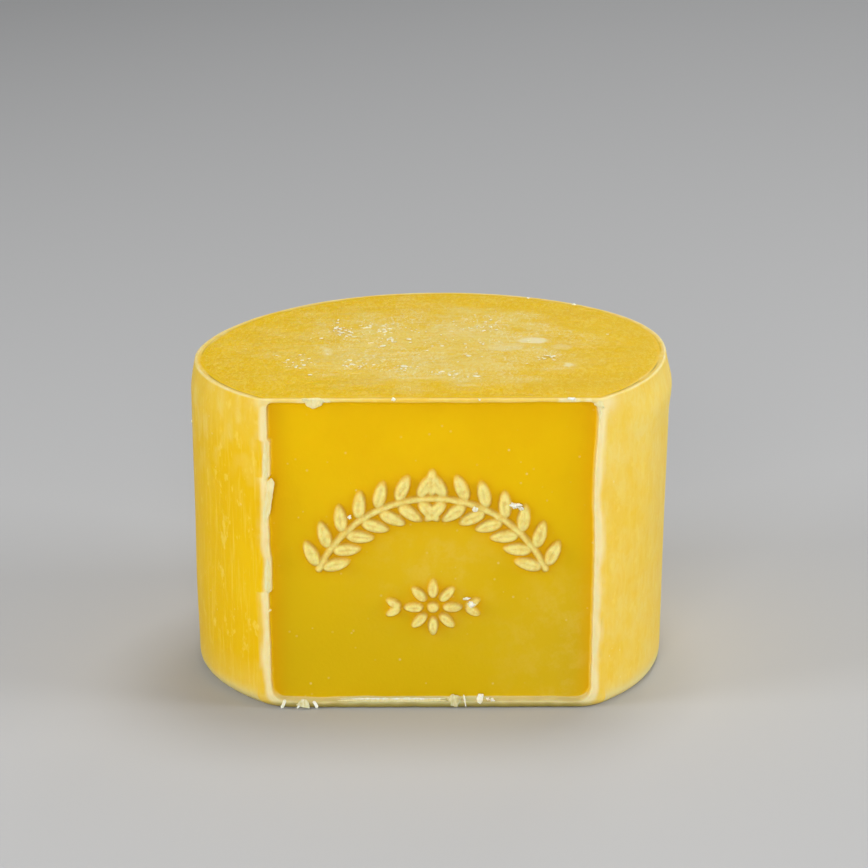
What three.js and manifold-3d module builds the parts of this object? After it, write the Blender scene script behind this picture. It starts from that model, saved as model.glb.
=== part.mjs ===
// A block of moulded kashar cheese: a squat, slightly out-of-round drum with one flat side.
// The flat side carries a shallow recessed panel, with a leafy arch and a rosette raised on its floor.
// The flat side faces -Y, the block stands on z = 0, and +X is on the right of someone facing the panel.
// All sizes are millimetres, and angles are degrees in the constants and radians in the code.
import * as THREE from "three";
import { mergeVertices } from "three/addons/utils/BufferGeometryUtils.js";
import Module from "manifold-3d";

const wasm = await Module();
wasm.setup();

// ---- The drum -------------------------------------------------------------------------------
const HEIGHT = 82.4;
const TOP_RADIUS = 64.2; // the mould opens upwards, so the foot is a little narrower
const FOOT_RADIUS = 63;
const FLAT_DISTANCE = 48.4; // from the drum's axis to its flat side
// Out of round: [harmonic, cosine share, sine share] of the radius.
const OUT_OF_ROUND = [
  [2, -0.015, 0.0166],
  [3, -0.009, -0.0131],
  [4, -0.0054, 0.007],
  [5, -0.0006, 0.0033],
];
// Where the wall stands out: the side (-1 is the left), how far, at which height, and how far up and down.
const BULGES = [
  { side: 1, proud: 0.38, height: 56.7, reach: 22 }, // a belly
  { side: -1, proud: 0.34, height: 22, reach: 14 }, // a full lower half
  { side: 1, proud: 0.71, height: 73.7, reach: 4.5 }, // where the curd stood proud of the mould's mouth
];
const SHOULDER = { height: 8.1, inset: 1.1, leftMore: 0.17 }; // the wall leans in to the rim
const FOOT_ROUNDING = { round: 2.7, leftMore: 0.8, flat: 1.2 };
const BROW_ROUNDING = 0.6; // the edge between the top and the flat side
// The worn corner between wall and flat side: how far it reaches along each, above and at the foot.
const SIDE_CORNER = { reach: 1, footReach: 4, footHeight: 14 };
// The wall is drawn in beside the corners: how far, between which heights this grows, and over what angle.
const CORNER_PINCH = { inset: 0.7, low: 25, high: 75, spread: 24 };

// ---- The recessed panel ---------------------------------------------------------------------
const PANEL = { left: -41.6, right: 40.7, bottom: 1.8, top: 81.1 };
const PANEL_DEPTH = 2.5;
const PANEL_CORNER = { foot: 3.6, top: 1.5 };
const PANEL_DRAFT = 0.45; // the recess narrows by this on each side, down to its floor
const PANEL_FLOOR_ROUNDING = 0.8;

// ---- The raised ornament, as [x, z] places on the panel's floor -------------------------------
const ARCH_CENTRE = [-0.4, 24.2];
const ARCH_RADIUS = 31.5;
const ARCH_HALF_ANGLE = 66; // from the top of the arch to the foot of each branch
const STEM = { width: 1.9, height: 1.35 };
const LEAF = { length: 7.6, width: 3.6, height: 1.9, splay: 51 };
const LEAF_PAIRS = 7; // on each branch
const BARE_TOP = 0.75; // how much of the stem is bare below the tip leaf, in steps between pairs
const FOOT_STEP = 0.1; // from the foot of a branch to its first pair, in the same steps
const LEAF_ROOT_OFFSET = 0.5; // from the stem's middle to a leaf's root
const TIP_LEAF = { length: 7.4, width: 3.4, height: 1.9 };
const ROSETTE_CENTRE = [-0.2, 26.7];
const PETALS = 8;
const PETAL = { length: 5.3, width: 2.8, height: 1.9, root: 2.35 };
const BOSS = { radius: 1.6, height: 1.7 };
const SIDE_LEAF = { length: 4.4, width: 2.4, height: 1.7, root: 8.2, splay: 30 };
const RELIEF_SUNK = 0.7; // how far the ornament's solids reach into the floor below them

// ---- Torn edges: thin shavings and burrs left on the rim round the panel ----------------------
// Each has the [x, z] of its two ends, its width and how far it stands off the rim.
const SHAVINGS = [
  { from: [-42.1, 71.6], to: [-42.3, 61.6], width: 1.3, proud: 0.4 },
  { from: [-40.9, 61.7], to: [-42.3, 51], width: 1.3, proud: 0.7 },
  { from: [-42, 40.6], to: [-42.1, 31.5], width: 1.3, proud: 0.4 },
  { from: [-32.6, 81.6], to: [-26.6, 80.9], width: 1.5, proud: 0.4 },
  { from: [-38.4, 3], to: [-39.3, 0.5], width: 0.9, proud: 0.7 },
  { from: [-33.3, 3.1], to: [-34.6, 0.6], width: 2.2, proud: 0.7 },
  { from: [-31.1, 2.5], to: [-30.2, 0.6], width: 0.8, proud: 0.6 },
  { from: [5.2, 3.8], to: [5.8, 0.9], width: 2.9, proud: 0.5 },
  { from: [11.8, 3.7], to: [11.9, 1.9], width: 1.4, proud: 0.5 },
];
const SHAVING_SUNK = 0.6;

// ---- Fineness of the faceting -----------------------------------------------------------------
const ARC_STEPS = 62;
const WALL_STEPS = 6;
const SHOULDER_STEPS = 8;
const FOOT_STEPS = 5;
const CORNER_STEPS = 4;
const PANEL_CORNER_STEPS = 4;
const LEAF_POINTS = 12;
const ROUND_POINTS = 10;
const STEM_STEPS = 26;
const STEM_SIDES = 8;

const radians = THREE.MathUtils.degToRad;
const gauss = (distance, spread) => Math.exp(-((distance / spread) ** 2));
const smoothstep = THREE.MathUtils.smoothstep;

// ---- Solids from rings --------------------------------------------------------------------------

/** A closed geometry through rings of equally many points, with a fan over the first and the last. */
function loft(rings) {
  const count = rings[0].length;
  const points = rings.flat();
  const middle = (ring) => ring.reduce((sum, p) => sum.add(p), new THREE.Vector3()).divideScalar(count);
  const first = points.push(middle(rings[0])) - 1;
  const last = points.push(middle(rings.at(-1))) - 1;
  const top = (rings.length - 1) * count;
  const faces = [];
  for (let i = 0; i < count; i++) {
    const next = (i + 1) % count;
    faces.push(first, next, i);
    faces.push(last, top + i, top + next);
    for (let r = 0; r < rings.length - 1; r++) {
      const low = r * count;
      const high = low + count;
      faces.push(low + i, low + next, high + next);
      faces.push(low + i, high + next, high + i);
    }
  }
  return new THREE.BufferGeometry().setFromPoints(points).setIndex(faces);
}

/** The solid inside a closed geometry, turned the right way round. */
function solidOf(geometry) {
  const bare = new THREE.BufferGeometry().setAttribute("position", geometry.getAttribute("position"));
  bare.setIndex(geometry.index);
  const merged = mergeVertices(bare, 1e-4);
  const triVerts = new Uint32Array(merged.index.array);
  const vertProperties = new Float32Array(merged.attributes.position.array);
  const solid = new wasm.Manifold(new wasm.Mesh({ numProp: 3, vertProperties, triVerts }));
  if (solid.volume() > 0) return solid;
  return new wasm.Manifold(new wasm.Mesh({ numProp: 3, vertProperties, triVerts: triVerts.reverse() }));
}

/** The geometry of a solid's surface. */
function geometryOf(solid) {
  const mesh = solid.getMesh();
  return new THREE.BufferGeometry()
    .setAttribute("position", new THREE.BufferAttribute(mesh.vertProperties, 3))
    .setIndex(new THREE.BufferAttribute(mesh.triVerts, 1));
}

// ---- The drum -----------------------------------------------------------------------------------

/** How far a rounded edge is drawn in, at a depth into its rounding. */
function turnedIn(depth, rounding) {
  const into = Math.max(0, 1 - depth / rounding);
  return rounding * (1 - Math.sqrt(Math.max(0, 1 - into ** 2)));
}

/** How far round the wall an angle is from the flat side's corners: 0 at them, 1 well away. */
function fromCorner(angle) {
  const turned = Math.acos(THREE.MathUtils.clamp(-Math.sin(angle), -1, 1));
  const flatHalf = Math.acos(FLAT_DISTANCE / TOP_RADIUS);
  return smoothstep(turned - flatHalf, 0, radians(CORNER_PINCH.spread));
}

/** The round wall's radius at an angle and a height. */
function wallRadius(angle, z) {
  const below = HEIGHT - z;
  const share = OUT_OF_ROUND.reduce(
    (sum, [n, cosine, sine]) => sum + cosine * Math.cos(n * angle) + sine * Math.sin(n * angle),
    1,
  );
  const away = fromCorner(angle);
  const bulge = BULGES.reduce((sum, { side, proud, height, reach }) => {
    return sum + proud * smoothstep(side * Math.cos(angle), -0.2, 0.8) * gauss(z - height, reach);
  }, 0);
  const leanInset = SHOULDER.inset - SHOULDER.leftMore * Math.cos(angle);
  const shoulder = leanInset * Math.max(0, 1 - below / SHOULDER.height) ** 1.5;
  const pinch = CORNER_PINCH.inset * smoothstep(z, CORNER_PINCH.low, CORNER_PINCH.high) * (1 - away);
  const foot = turnedIn(z, FOOT_ROUNDING.round - FOOT_ROUNDING.leftMore * Math.cos(angle));
  const radius = THREE.MathUtils.lerp(FOOT_RADIUS, TOP_RADIUS, z / HEIGHT) * share;
  return radius + (bulge - shoulder) * away - pinch - foot;
}

/** The angle at which the round wall meets the flat side, on the right or on the left. */
function cornerAngle(isRight, z, flat) {
  const reach = (angle) => Math.asin(-flat / wallRadius(angle, z));
  let angle = isRight ? -1 : Math.PI + 1;
  for (let pass = 0; pass < 12; pass++) {
    angle = isRight ? -reach(angle) : Math.PI + reach(angle);
  }
  return angle;
}

/** A place on the round wall. */
function onWall(angle, z) {
  const radius = wallRadius(angle, z);
  return new THREE.Vector3(radius * Math.cos(angle), radius * Math.sin(angle), z);
}

/** How far the worn corner reaches along the wall and the flat side, at a height. */
function cornerReach(z) {
  const up = smoothstep(z, 1, SIDE_CORNER.footHeight);
  return THREE.MathUtils.lerp(SIDE_CORNER.footReach, SIDE_CORNER.reach, up);
}

/** The drum's outline at a height: the round wall, its two worn corners and the straight flat side. */
function outline({ z, flatInset }) {
  const flat = -FLAT_DISTANCE + flatInset;
  const reach = cornerReach(z);
  const [right, left] = [true, false].map((isRight) => {
    const way = isRight ? 1 : -1;
    const ridge = cornerAngle(isRight, z, flat);
    const sharp = onWall(ridge, z);
    const wallEnd = ridge + (way * reach) / wallRadius(ridge, z);
    const flatEnd = sharp.clone().setX(sharp.x - way * reach);
    const curve = new THREE.QuadraticBezierCurve3(flatEnd, sharp, onWall(wallEnd, z));
    return { wallEnd, points: curve.getPoints(CORNER_STEPS) };
  });
  const arc = [];
  for (let i = 1; i < ARC_STEPS; i++) {
    arc.push(onWall(THREE.MathUtils.lerp(right.wallEnd, left.wallEnd, i / ARC_STEPS), z));
  }
  return [...right.points, ...arc, ...left.points.reverse()];
}

/** Heights from the foot to the rim, each with what the flat side is drawn in by. */
function levels() {
  const found = [];
  const roundest = FOOT_ROUNDING.round + FOOT_ROUNDING.leftMore;
  for (let i = 0; i <= FOOT_STEPS; i++) {
    const z = roundest * (1 - Math.cos((Math.PI / 2) * (i / FOOT_STEPS)));
    found.push({ z, flatInset: turnedIn(z, FOOT_ROUNDING.flat) });
  }
  const shoulder = HEIGHT - 2 * SHOULDER.height;
  for (let i = 1; i <= WALL_STEPS; i++) {
    found.push({ z: THREE.MathUtils.lerp(roundest, shoulder, i / WALL_STEPS), flatInset: 0 });
  }
  for (let i = 1; i < SHOULDER_STEPS; i++) {
    const z = THREE.MathUtils.lerp(shoulder, HEIGHT - BROW_ROUNDING, i / (SHOULDER_STEPS - 1));
    found.push({ z, flatInset: 0 });
  }
  found.push({ z: HEIGHT, flatInset: BROW_ROUNDING });
  return found;
}

// ---- The panel ------------------------------------------------------------------------------------

/** A ring round the panel's outline, drawn in by an inset, at a distance behind the flat side. */
function panelRing(inset, behind) {
  const foot = PANEL_CORNER.foot - Math.min(inset, PANEL_CORNER.foot / 2);
  const top = PANEL_CORNER.top - Math.min(inset, PANEL_CORNER.top / 2);
  const y = -FLAT_DISTANCE + behind;
  const ring = [];
  const corners = [
    [PANEL.right - inset - foot, PANEL.bottom + inset + foot, foot, -90],
    [PANEL.right - inset - top, PANEL.top - inset - top, top, 0],
    [PANEL.left + inset + top, PANEL.top - inset - top, top, 90],
    [PANEL.left + inset + foot, PANEL.bottom + inset + foot, foot, 180],
  ];
  for (const [x, z, radius, start] of corners) {
    for (let i = 0; i <= PANEL_CORNER_STEPS; i++) {
      const turn = radians(start + (90 * i) / PANEL_CORNER_STEPS);
      ring.push(new THREE.Vector3(x + radius * Math.cos(turn), y, z + radius * Math.sin(turn)));
    }
  }
  return ring;
}

/** The space that the mould's stamp leaves: walls with a little draft, and a rounded foot. */
function panelRecess() {
  const wallDepth = PANEL_DEPTH - PANEL_FLOOR_ROUNDING;
  const half = PANEL_FLOOR_ROUNDING * Math.SQRT1_2;
  return solidOf(
    loft([
      panelRing(-PANEL_DRAFT, -3),
      panelRing(0, 0),
      panelRing(PANEL_DRAFT, wallDepth),
      panelRing(PANEL_DRAFT + PANEL_FLOOR_ROUNDING - half, wallDepth + half),
      panelRing(PANEL_DRAFT + PANEL_FLOOR_ROUNDING, PANEL_DEPTH),
    ]),
  );
}

// ---- The ornament ---------------------------------------------------------------------------------

/** Places a shape's own (along, across, height) on the panel's floor, from a root point and a heading. */
function onFloor([rootX, rootZ], heading) {
  const alongX = Math.cos(heading);
  const alongZ = Math.sin(heading);
  return (along, across, height) =>
    new THREE.Vector3(
      rootX + along * alongX - across * alongZ,
      -FLAT_DISTANCE + PANEL_DEPTH - height,
      rootZ + along * alongZ + across * alongX,
    );
}

// A raised shape's cross-section, as shares: how far in each ring is drawn, and how high it stands.
const RAISED_SECTION = [
  { in: 0.1, up: 0.55 },
  { in: 0.34, up: 0.9 },
  { in: 0.62, up: 1 },
];

/** A leaf with a round root and a narrower tip, domed across its width. */
function leaf(root, heading, { length, width, height }) {
  const place = onFloor(root, heading);
  const outline = (i, inShare) => {
    const turn = (2 * Math.PI * i) / LEAF_POINTS;
    const along = (1 - Math.cos(turn)) / 2;
    const across = (width / 2) * Math.sin(turn) * (1.12 - 0.3 * along);
    const drawn = (width / 2) * inShare;
    return [drawn + along * (length - 2 * drawn), across * (1 - inShare)];
  };
  const ring = (inShare, lift) =>
    Array.from({ length: LEAF_POINTS }, (_, i) => place(...outline(i, inShare), lift));
  const rings = RAISED_SECTION.map((section) => ring(section.in, height * section.up));
  return solidOf(loft([ring(0, -RELIEF_SUNK), ...rings]));
}

/** A low round dome. */
function dome(centre, { radius, height }) {
  const place = onFloor(centre, 0);
  const ring = (share, lift) =>
    Array.from({ length: ROUND_POINTS }, (_, i) => {
      const turn = (2 * Math.PI * i) / ROUND_POINTS;
      return place(radius * share * Math.cos(turn), radius * share * Math.sin(turn), lift);
    });
  const rings = RAISED_SECTION.map((section) => ring(1 - section.in, height * section.up));
  return solidOf(loft([ring(1, -RELIEF_SUNK), ...rings]));
}

/** A point of the arch's middle line, at a turn from its top; positive turns lead to the right. */
function archPoint(turn, radius = ARCH_RADIUS) {
  return [ARCH_CENTRE[0] + radius * Math.sin(turn), ARCH_CENTRE[1] + radius * Math.cos(turn)];
}

/** The stem that both branches share, as a half-sunk bar along the arch. */
function stem() {
  const reach = radians(ARCH_HALF_ANGLE);
  const rings = [];
  for (let step = 0; step <= STEM_STEPS; step++) {
    const turn = THREE.MathUtils.lerp(-reach, reach, step / STEM_STEPS);
    const taper = 0.7 + 0.3 * Math.sqrt(Math.max(0, 1 - Math.abs(turn / reach) ** 6));
    const place = onFloor(archPoint(turn), -turn);
    rings.push(
      Array.from({ length: STEM_SIDES }, (_, i) => {
        const round = (2 * Math.PI * (i + 0.5)) / STEM_SIDES;
        return place(0, (STEM.width / 2) * taper * Math.cos(round), STEM.height * taper * Math.sin(round));
      }),
    );
  }
  return solidOf(loft(rings));
}

/** Pairs of leaves that grow up each branch, and one leaf at the top of the arch. */
function archLeaves() {
  const leaves = [];
  const reach = radians(ARCH_HALF_ANGLE);
  for (const side of [-1, 1]) {
    for (let pair = 0; pair < LEAF_PAIRS; pair++) {
      const turn = side * reach * (1 - (pair + FOOT_STEP) / (LEAF_PAIRS - 1 + BARE_TOP));
      const upBranch = -turn + (side > 0 ? Math.PI : 0);
      for (const splay of [-1, 1]) {
        const outward = splay * -side;
        const root = archPoint(turn, ARCH_RADIUS + outward * LEAF_ROOT_OFFSET);
        leaves.push(leaf(root, upBranch + splay * radians(LEAF.splay), LEAF));
      }
    }
  }
  leaves.push(leaf(archPoint(0, ARCH_RADIUS + LEAF_ROOT_OFFSET), Math.PI / 2, TIP_LEAF));
  return leaves;
}

/** A round flower with a boss in its middle, and two small leaves on each side of it. */
function rosette() {
  const [x, z] = ROSETTE_CENTRE;
  const from = (distance, heading) => [x + distance * Math.cos(heading), z + distance * Math.sin(heading)];
  const parts = [dome(ROSETTE_CENTRE, BOSS)];
  for (let i = 0; i < PETALS; i++) {
    const heading = Math.PI / 2 + (2 * Math.PI * i) / PETALS;
    parts.push(leaf(from(PETAL.root, heading), heading, PETAL));
  }
  for (const middle of [0, Math.PI]) {
    for (const splay of [-1, 1]) {
      const root = from(SIDE_LEAF.root, middle);
      parts.push(leaf(root, middle + splay * radians(SIDE_LEAF.splay), SIDE_LEAF));
    }
  }
  return parts;
}

// ---- Torn edges -----------------------------------------------------------------------------------

/** A thin shaving that lies along the rim: thick in its middle and tapering to both ends. */
function shaving({ from, to, width, proud }) {
  const along = new THREE.Vector2(to[0] - from[0], to[1] - from[1]);
  const across = new THREE.Vector2(-along.y, along.x).normalize();
  const rings = [0, 0.25, 0.75, 1].map((t) => {
    const share = t === 0 || t === 1 ? 0.35 : 1;
    const centre = new THREE.Vector2(...from).addScaledVector(along, t);
    const corner = (side, stands) =>
      new THREE.Vector3(
        centre.x + (across.x * side * share * width) / 2,
        -FLAT_DISTANCE + SHAVING_SUNK - stands * (SHAVING_SUNK + proud * share),
        centre.y + (across.y * side * share * width) / 2,
      );
    return [corner(-1, 0), corner(1, 0), corner(0.8, 1), corner(-0.5, 1)];
  });
  return solidOf(loft(rings));
}

// ---- The whole block --------------------------------------------------------------------------------

const drum = solidOf(loft(levels().map(outline)));
const raised = [stem(), ...archLeaves(), ...rosette(), ...SHAVINGS.map(shaving)];
const whole = wasm.Manifold.union([drum.subtract(panelRecess()), ...raised]);

const cheese = new THREE.Mesh(
  geometryOf(whole),
  new THREE.MeshStandardMaterial({ color: 0xe8b814, roughness: 0.45, metalness: 0 }),
);
cheese.name = "cheese";

const group = new THREE.Group();
group.add(cheese);

export default group;
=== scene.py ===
"""A moulded block of yellow kashar cheese: a squat drum with one flat side.

The flat side carries a shallow panel, and a leafy arch over a rosette is raised on the panel's floor. The
shape classes work in millimetres, in the part's own frame: the block stands on z = 0 and its flat side
faces -Y.
"""

import logging
import math
from dataclasses import dataclass, field
from enum import Enum
from typing import Any

import bpy
import numpy as np
from mathutils import Matrix, Vector


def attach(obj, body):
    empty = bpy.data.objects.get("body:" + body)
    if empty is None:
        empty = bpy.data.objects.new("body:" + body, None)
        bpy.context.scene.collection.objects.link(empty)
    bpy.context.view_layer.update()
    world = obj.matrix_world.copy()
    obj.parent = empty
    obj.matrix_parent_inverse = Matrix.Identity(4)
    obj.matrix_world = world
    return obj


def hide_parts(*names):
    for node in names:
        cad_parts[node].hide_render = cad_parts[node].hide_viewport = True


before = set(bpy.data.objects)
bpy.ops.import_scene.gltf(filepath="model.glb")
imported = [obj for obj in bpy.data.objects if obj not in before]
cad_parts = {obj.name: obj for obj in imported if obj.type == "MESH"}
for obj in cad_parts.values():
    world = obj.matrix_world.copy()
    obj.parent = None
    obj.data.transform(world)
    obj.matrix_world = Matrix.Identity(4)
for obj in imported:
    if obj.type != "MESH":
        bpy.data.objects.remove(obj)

log = logging.getLogger("cheese")
MM = 0.001
Array = np.ndarray
Pair = tuple[float, float]
Triple = tuple[float, float, float]
Colour = tuple[float, float, float, float]


class Mask(Enum):
    """The names of what the block's mesh carries at each vertex, for its finish to read."""

    # Worn edges, and a painted highlight along the top's edge.
    WORN_AND_EDGE_HIGHLIGHT = "worn"
    RAISED = "raised"
    # Painted shade round the raised ornament and inside the panel's sides.
    HALO = "occlusion_shade"
    RIM = "rim"
    TOP = "top"
    PANEL = "panel"
    # Painted shade in the rim's groove and on the lower part of the strip under the panel.
    PAINTED_SHADE = "painted_shade"
    # Dry patches, with painted sheen on the right wall and in the top's middle.
    DRY_AND_SHEEN = "dry"
    # Greyish strip under the panel, partly painted shade; painted shade where the round wall curves under;
    # dry scars on the top.
    GREY = "grey"
    # Painted shade on the panel's floor, deeper towards its foot.
    LOW = "low"


# ---- Numbers and curves ------------------------------------------------------------------------------


def smooth(edge_low: float, edge_high: float, value: Array) -> Array:
    """A smooth step from 0 to 1.

    Args:
        edge_low: where the step starts.
        edge_high: where it ends.
        value: the numbers to step.

    Returns:
        The stepped numbers, from 0 to 1.
    """
    share = np.clip((value - edge_low) / (edge_high - edge_low), 0.0, 1.0)
    return share * share * (3.0 - 2.0 * share)


def bell(distance: Array, width: float) -> Array:
    """A bell curve of height 1 over a distance."""
    return np.exp(-((distance / width) ** 2))


@dataclass(frozen=True)
class Fade:
    """A smooth step between two places: none at its start, full at its end."""

    start: float
    end: float

    def at(self, place: Array) -> Array:
        """How far the step has gone at places, from 0 to 1."""
        return smooth(self.start, self.end, place)


@dataclass(frozen=True)
class Spot:
    """A soft round patch, by its middle, its reach, its strength, and how it is squeezed along each axis."""

    middle: Pair
    reach: float
    strength: float
    squeeze: Pair = (1.0, 1.0)

    def at(self, across: Array, up: Array) -> Array:
        """How strong the patch is at places."""
        aside, above = across - self.middle[0], up - self.middle[1]
        return self.strength * bell(np.hypot(aside * self.squeeze[0], above * self.squeeze[1]), self.reach)


@dataclass(frozen=True)
class Waves:
    """A seeded, smooth, uneven surface: many sine waves in random directions, of about one length."""

    seed: int
    length: float
    count: int = 14
    stretch: Triple = (1.0, 1.0, 1.0)
    height: float = 1.0

    def at(self, x: Array, y: Array, z: Array) -> Array:
        """How high the surface is, mostly between its height below and above the mean.

        Args:
            x: places along X.
            y: places along Y.
            z: places along Z.

        Returns:
            The heights at those places.
        """
        rng = np.random.default_rng(self.seed)
        total = np.zeros(np.broadcast(x, y, z).shape)
        for _ in range(self.count):
            heading = rng.normal(size=3)
            heading /= np.linalg.norm(heading)
            pitch = 2 * math.pi / (self.length * rng.uniform(0.6, 1.8))
            a, b, c = heading * pitch / np.array(self.stretch)
            total += np.sin(a * x + b * y + c * z + rng.uniform(0, 2 * math.pi))
        return total / math.sqrt(self.count) * self.height


def spread(low: float, high: float, step: float) -> Array:
    """Evenly spaced numbers from low to high, about a step apart, both ends included."""
    return np.linspace(low, high, max(2, int(round((high - low) / step)) + 1))


# ---- Meshes ------------------------------------------------------------------------------------------


@dataclass
class Skin:
    """Vertices in millimetres, faces, and the masks carried at the vertices."""

    points: list[Array] = field(default_factory=list)
    faces: list[list[int]] = field(default_factory=list)
    masks: dict[Mask, Array] = field(default_factory=dict)
    count: int = 0

    def extend(self, points: Array) -> int:
        """Adds vertices and returns the index of the first of them."""
        first = self.count
        self.points.append(points.reshape(-1, 3))
        self.count += len(self.points[-1])
        return first

    def grid(self, index: Array, closed: bool) -> None:
        """Adds the quads of a grid of vertex indices.

        Args:
            index: the grid, one row of indices for each row of the surface.
            closed: whether the last column joins the first.
        """
        right = np.roll(index, -1, axis=1) if closed else index[:, 1:]
        left = index if closed else index[:, :-1]
        quads = np.stack([left[:-1], right[:-1], right[1:], left[1:]], axis=-1)
        self.faces.extend(quads.reshape(-1, 4).tolist())

    def fan(self, ring: Array, middle: int, flip: bool) -> None:
        """Adds the triangles between a ring of vertices and the vertex in its middle."""
        after = np.roll(ring, -1)
        first, second = (after, ring) if flip else (ring, after)
        self.faces.extend([[int(a), int(b), middle] for a, b in zip(first, second)])

    def build(self, name: str) -> bpy.types.Object:
        """Makes the object, shaded smooth and with its masks as attributes.

        Args:
            name: the piece's name.

        Returns:
            The object, linked to the scene.
        """
        mesh = bpy.data.meshes.new(name)
        mesh.from_pydata((np.concatenate(self.points) * MM).tolist(), [], self.faces)
        for mask, values in self.masks.items():
            layer = mesh.attributes.new(mask.value, "FLOAT", "POINT")
            layer.data.foreach_set("value", values.astype(np.float32).ravel())
        mesh.shade_smooth()
        mesh.update()
        piece = bpy.data.objects.new(name, mesh)
        bpy.context.scene.collection.objects.link(piece)
        return piece


# ---- The block's shape -------------------------------------------------------------------------------


@dataclass(frozen=True)
class Bulge:
    """A place where the round wall stands out, on one side of the block (-1 is the left)."""

    side: int
    proud: float
    height: float
    reach: float
    around: Fade = Fade(-0.2, 0.8)

    def at(self, angle: Array, z: Array) -> Array:
        """How far the wall stands out at angles round the axis and heights."""
        return self.proud * self.around.at(self.side * np.cos(angle)) * bell(z - self.height, self.reach)


def turned_in(depth: Array, rounding: Array | float) -> Array:
    """How far a rounded edge is drawn in, at a depth into its rounding."""
    into = np.clip(1 - depth / rounding, 0, 1)
    return rounding * (1 - np.sqrt(1 - into**2))


@dataclass(frozen=True)
class Drum:
    """The slightly out-of-round wall of the block, cut by its flat side."""

    height: float = 82.4
    top_radius: float = 64.2
    foot_radius: float = 63.0
    flat: float = 48.4
    out_of_round: tuple[tuple[int, float, float], ...] = (
        (2, -0.015, 0.0166),
        (3, -0.009, -0.0131),
        (4, -0.0054, 0.007),
        (5, -0.0006, 0.0033),
    )
    bulges: tuple[Bulge, ...] = (Bulge(1, 0.38, 56.7, 22), Bulge(-1, 0.34, 22, 14), Bulge(1, 0.71, 73.7, 4.5))
    shoulder_height: float = 8.1
    shoulder_inset: float = 1.1
    shoulder_left_more: float = 0.17
    shoulder_curve: float = 1.5
    foot_rounding: float = 2.7
    foot_left_more: float = 0.8
    corner_reach: float = 1.0
    corner_foot_reach: float = 4.0
    corner_foot_height: float = 14.0
    pinch: float = 0.7
    pinch_heights: Fade = Fade(25.0, 75.0)
    pinch_spread: float = math.radians(24)

    def from_corner(self, angle: Array) -> Array:
        """How far round the wall a place is from the flat side's corners: 0 at them, 1 well away."""
        turned = np.arccos(np.clip(-np.sin(angle), -1, 1))
        flat_half = math.acos(self.flat / self.top_radius)
        return smooth(0.0, self.pinch_spread, turned - flat_half)

    def wall(self, angle: Array, z: Array, inset: Array | float = 0.0) -> Array:
        """The round wall's radius.

        Args:
            angle: angles round the axis, in radians from +X.
            z: heights.
            inset: how far the wall is drawn in there beyond its own form.

        Returns:
            The radii.
        """
        radius = self.foot_radius + (self.top_radius - self.foot_radius) * z / self.height
        share = 1.0 + sum(c * np.cos(n * angle) + s * np.sin(n * angle) for n, c, s in self.out_of_round)
        away = self.from_corner(angle)
        lean = self.shoulder_inset - self.shoulder_left_more * np.cos(angle)
        rise = np.clip(1 - (self.height - z) / self.shoulder_height, 0, None)
        shoulder = lean * rise**self.shoulder_curve
        bulge = sum(bulge.at(angle, z) for bulge in self.bulges)
        pinch = self.pinch * self.pinch_heights.at(z) * (1 - away)
        foot = turned_in(z, self.foot_rounding - self.foot_left_more * np.cos(angle))
        return radius * share + (bulge - shoulder) * away - pinch - foot - inset

    def reach(self, z: Array) -> Array:
        """How far the worn corners reach along the wall and the flat side, at heights."""
        up = smooth(1.0, self.corner_foot_height, z)
        return self.corner_foot_reach + (self.corner_reach - self.corner_foot_reach) * up

    def corner(self, side: int, z: Array, inset: Array, flat: Array) -> Array:
        """The angles at which the round wall meets the flat side.

        Args:
            side: 1 for the right corner, -1 for the left one.
            z: heights.
            inset: how far the wall is drawn in there.
            flat: how far the flat side is from the axis there.

        Returns:
            The angles.
        """
        middle = -math.pi / 2
        angle = np.full(z.shape, middle + side * 0.7)
        for _ in range(14):
            angle = middle + side * np.arccos(flat / self.wall(angle, z, inset))
        return angle


@dataclass(frozen=True)
class Leaf:
    """A raised leaf, with a round root, a narrower tip and a shallow midrib."""

    root: Pair
    heading: float
    length: float
    width: float
    height: float
    root_width: float = 1.12
    narrowing: float = 0.3
    shoulder: float = 0.72
    fullness: float = 3.4
    midrib_depth: float = 0.16
    midrib_reach: float = 0.34
    midrib_start: Fade = Fade(0.08, 0.3)
    midrib_end: Fade = Fade(1.0, 0.7)

    def raised(self, x: Array, z: Array) -> Array:
        """How high the leaf stands over the panel's floor.

        Args:
            x: places along X on the panel.
            z: places along Z on the panel.

        Returns:
            The heights there.
        """
        dx, dz = x - self.root[0], z - self.root[1]
        along = (dx * math.cos(self.heading) + dz * math.sin(self.heading)) / self.length
        across = -dx * math.sin(self.heading) + dz * math.cos(self.heading)
        half = self.width / 2 * (self.root_width - self.narrowing * along)
        inward = 1 - np.sqrt((2 * along - 1) ** 2 + (across / np.maximum(half, 0.1)) ** 2)
        full = 1 - (1 - np.clip(inward / self.shoulder, 0, 1)) ** self.fullness
        midrib = self.midrib_depth * bell(across, self.midrib_reach)
        midrib = midrib * self.midrib_start.at(along) * self.midrib_end.at(along)
        return self.height * full * (1 - midrib)


@dataclass(frozen=True)
class Boss:
    """A low round dome."""

    centre: Pair
    radius: float
    height: float
    shoulder: float = 0.72
    fullness: float = 3.0

    def raised(self, x: Array, z: Array) -> Array:
        """How high the dome stands over the panel's floor, at places on the panel."""
        inward = 1 - np.hypot(x - self.centre[0], z - self.centre[1]) / self.radius
        return self.height * (1 - (1 - np.clip(inward / self.shoulder, 0, 1)) ** self.fullness)


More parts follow.
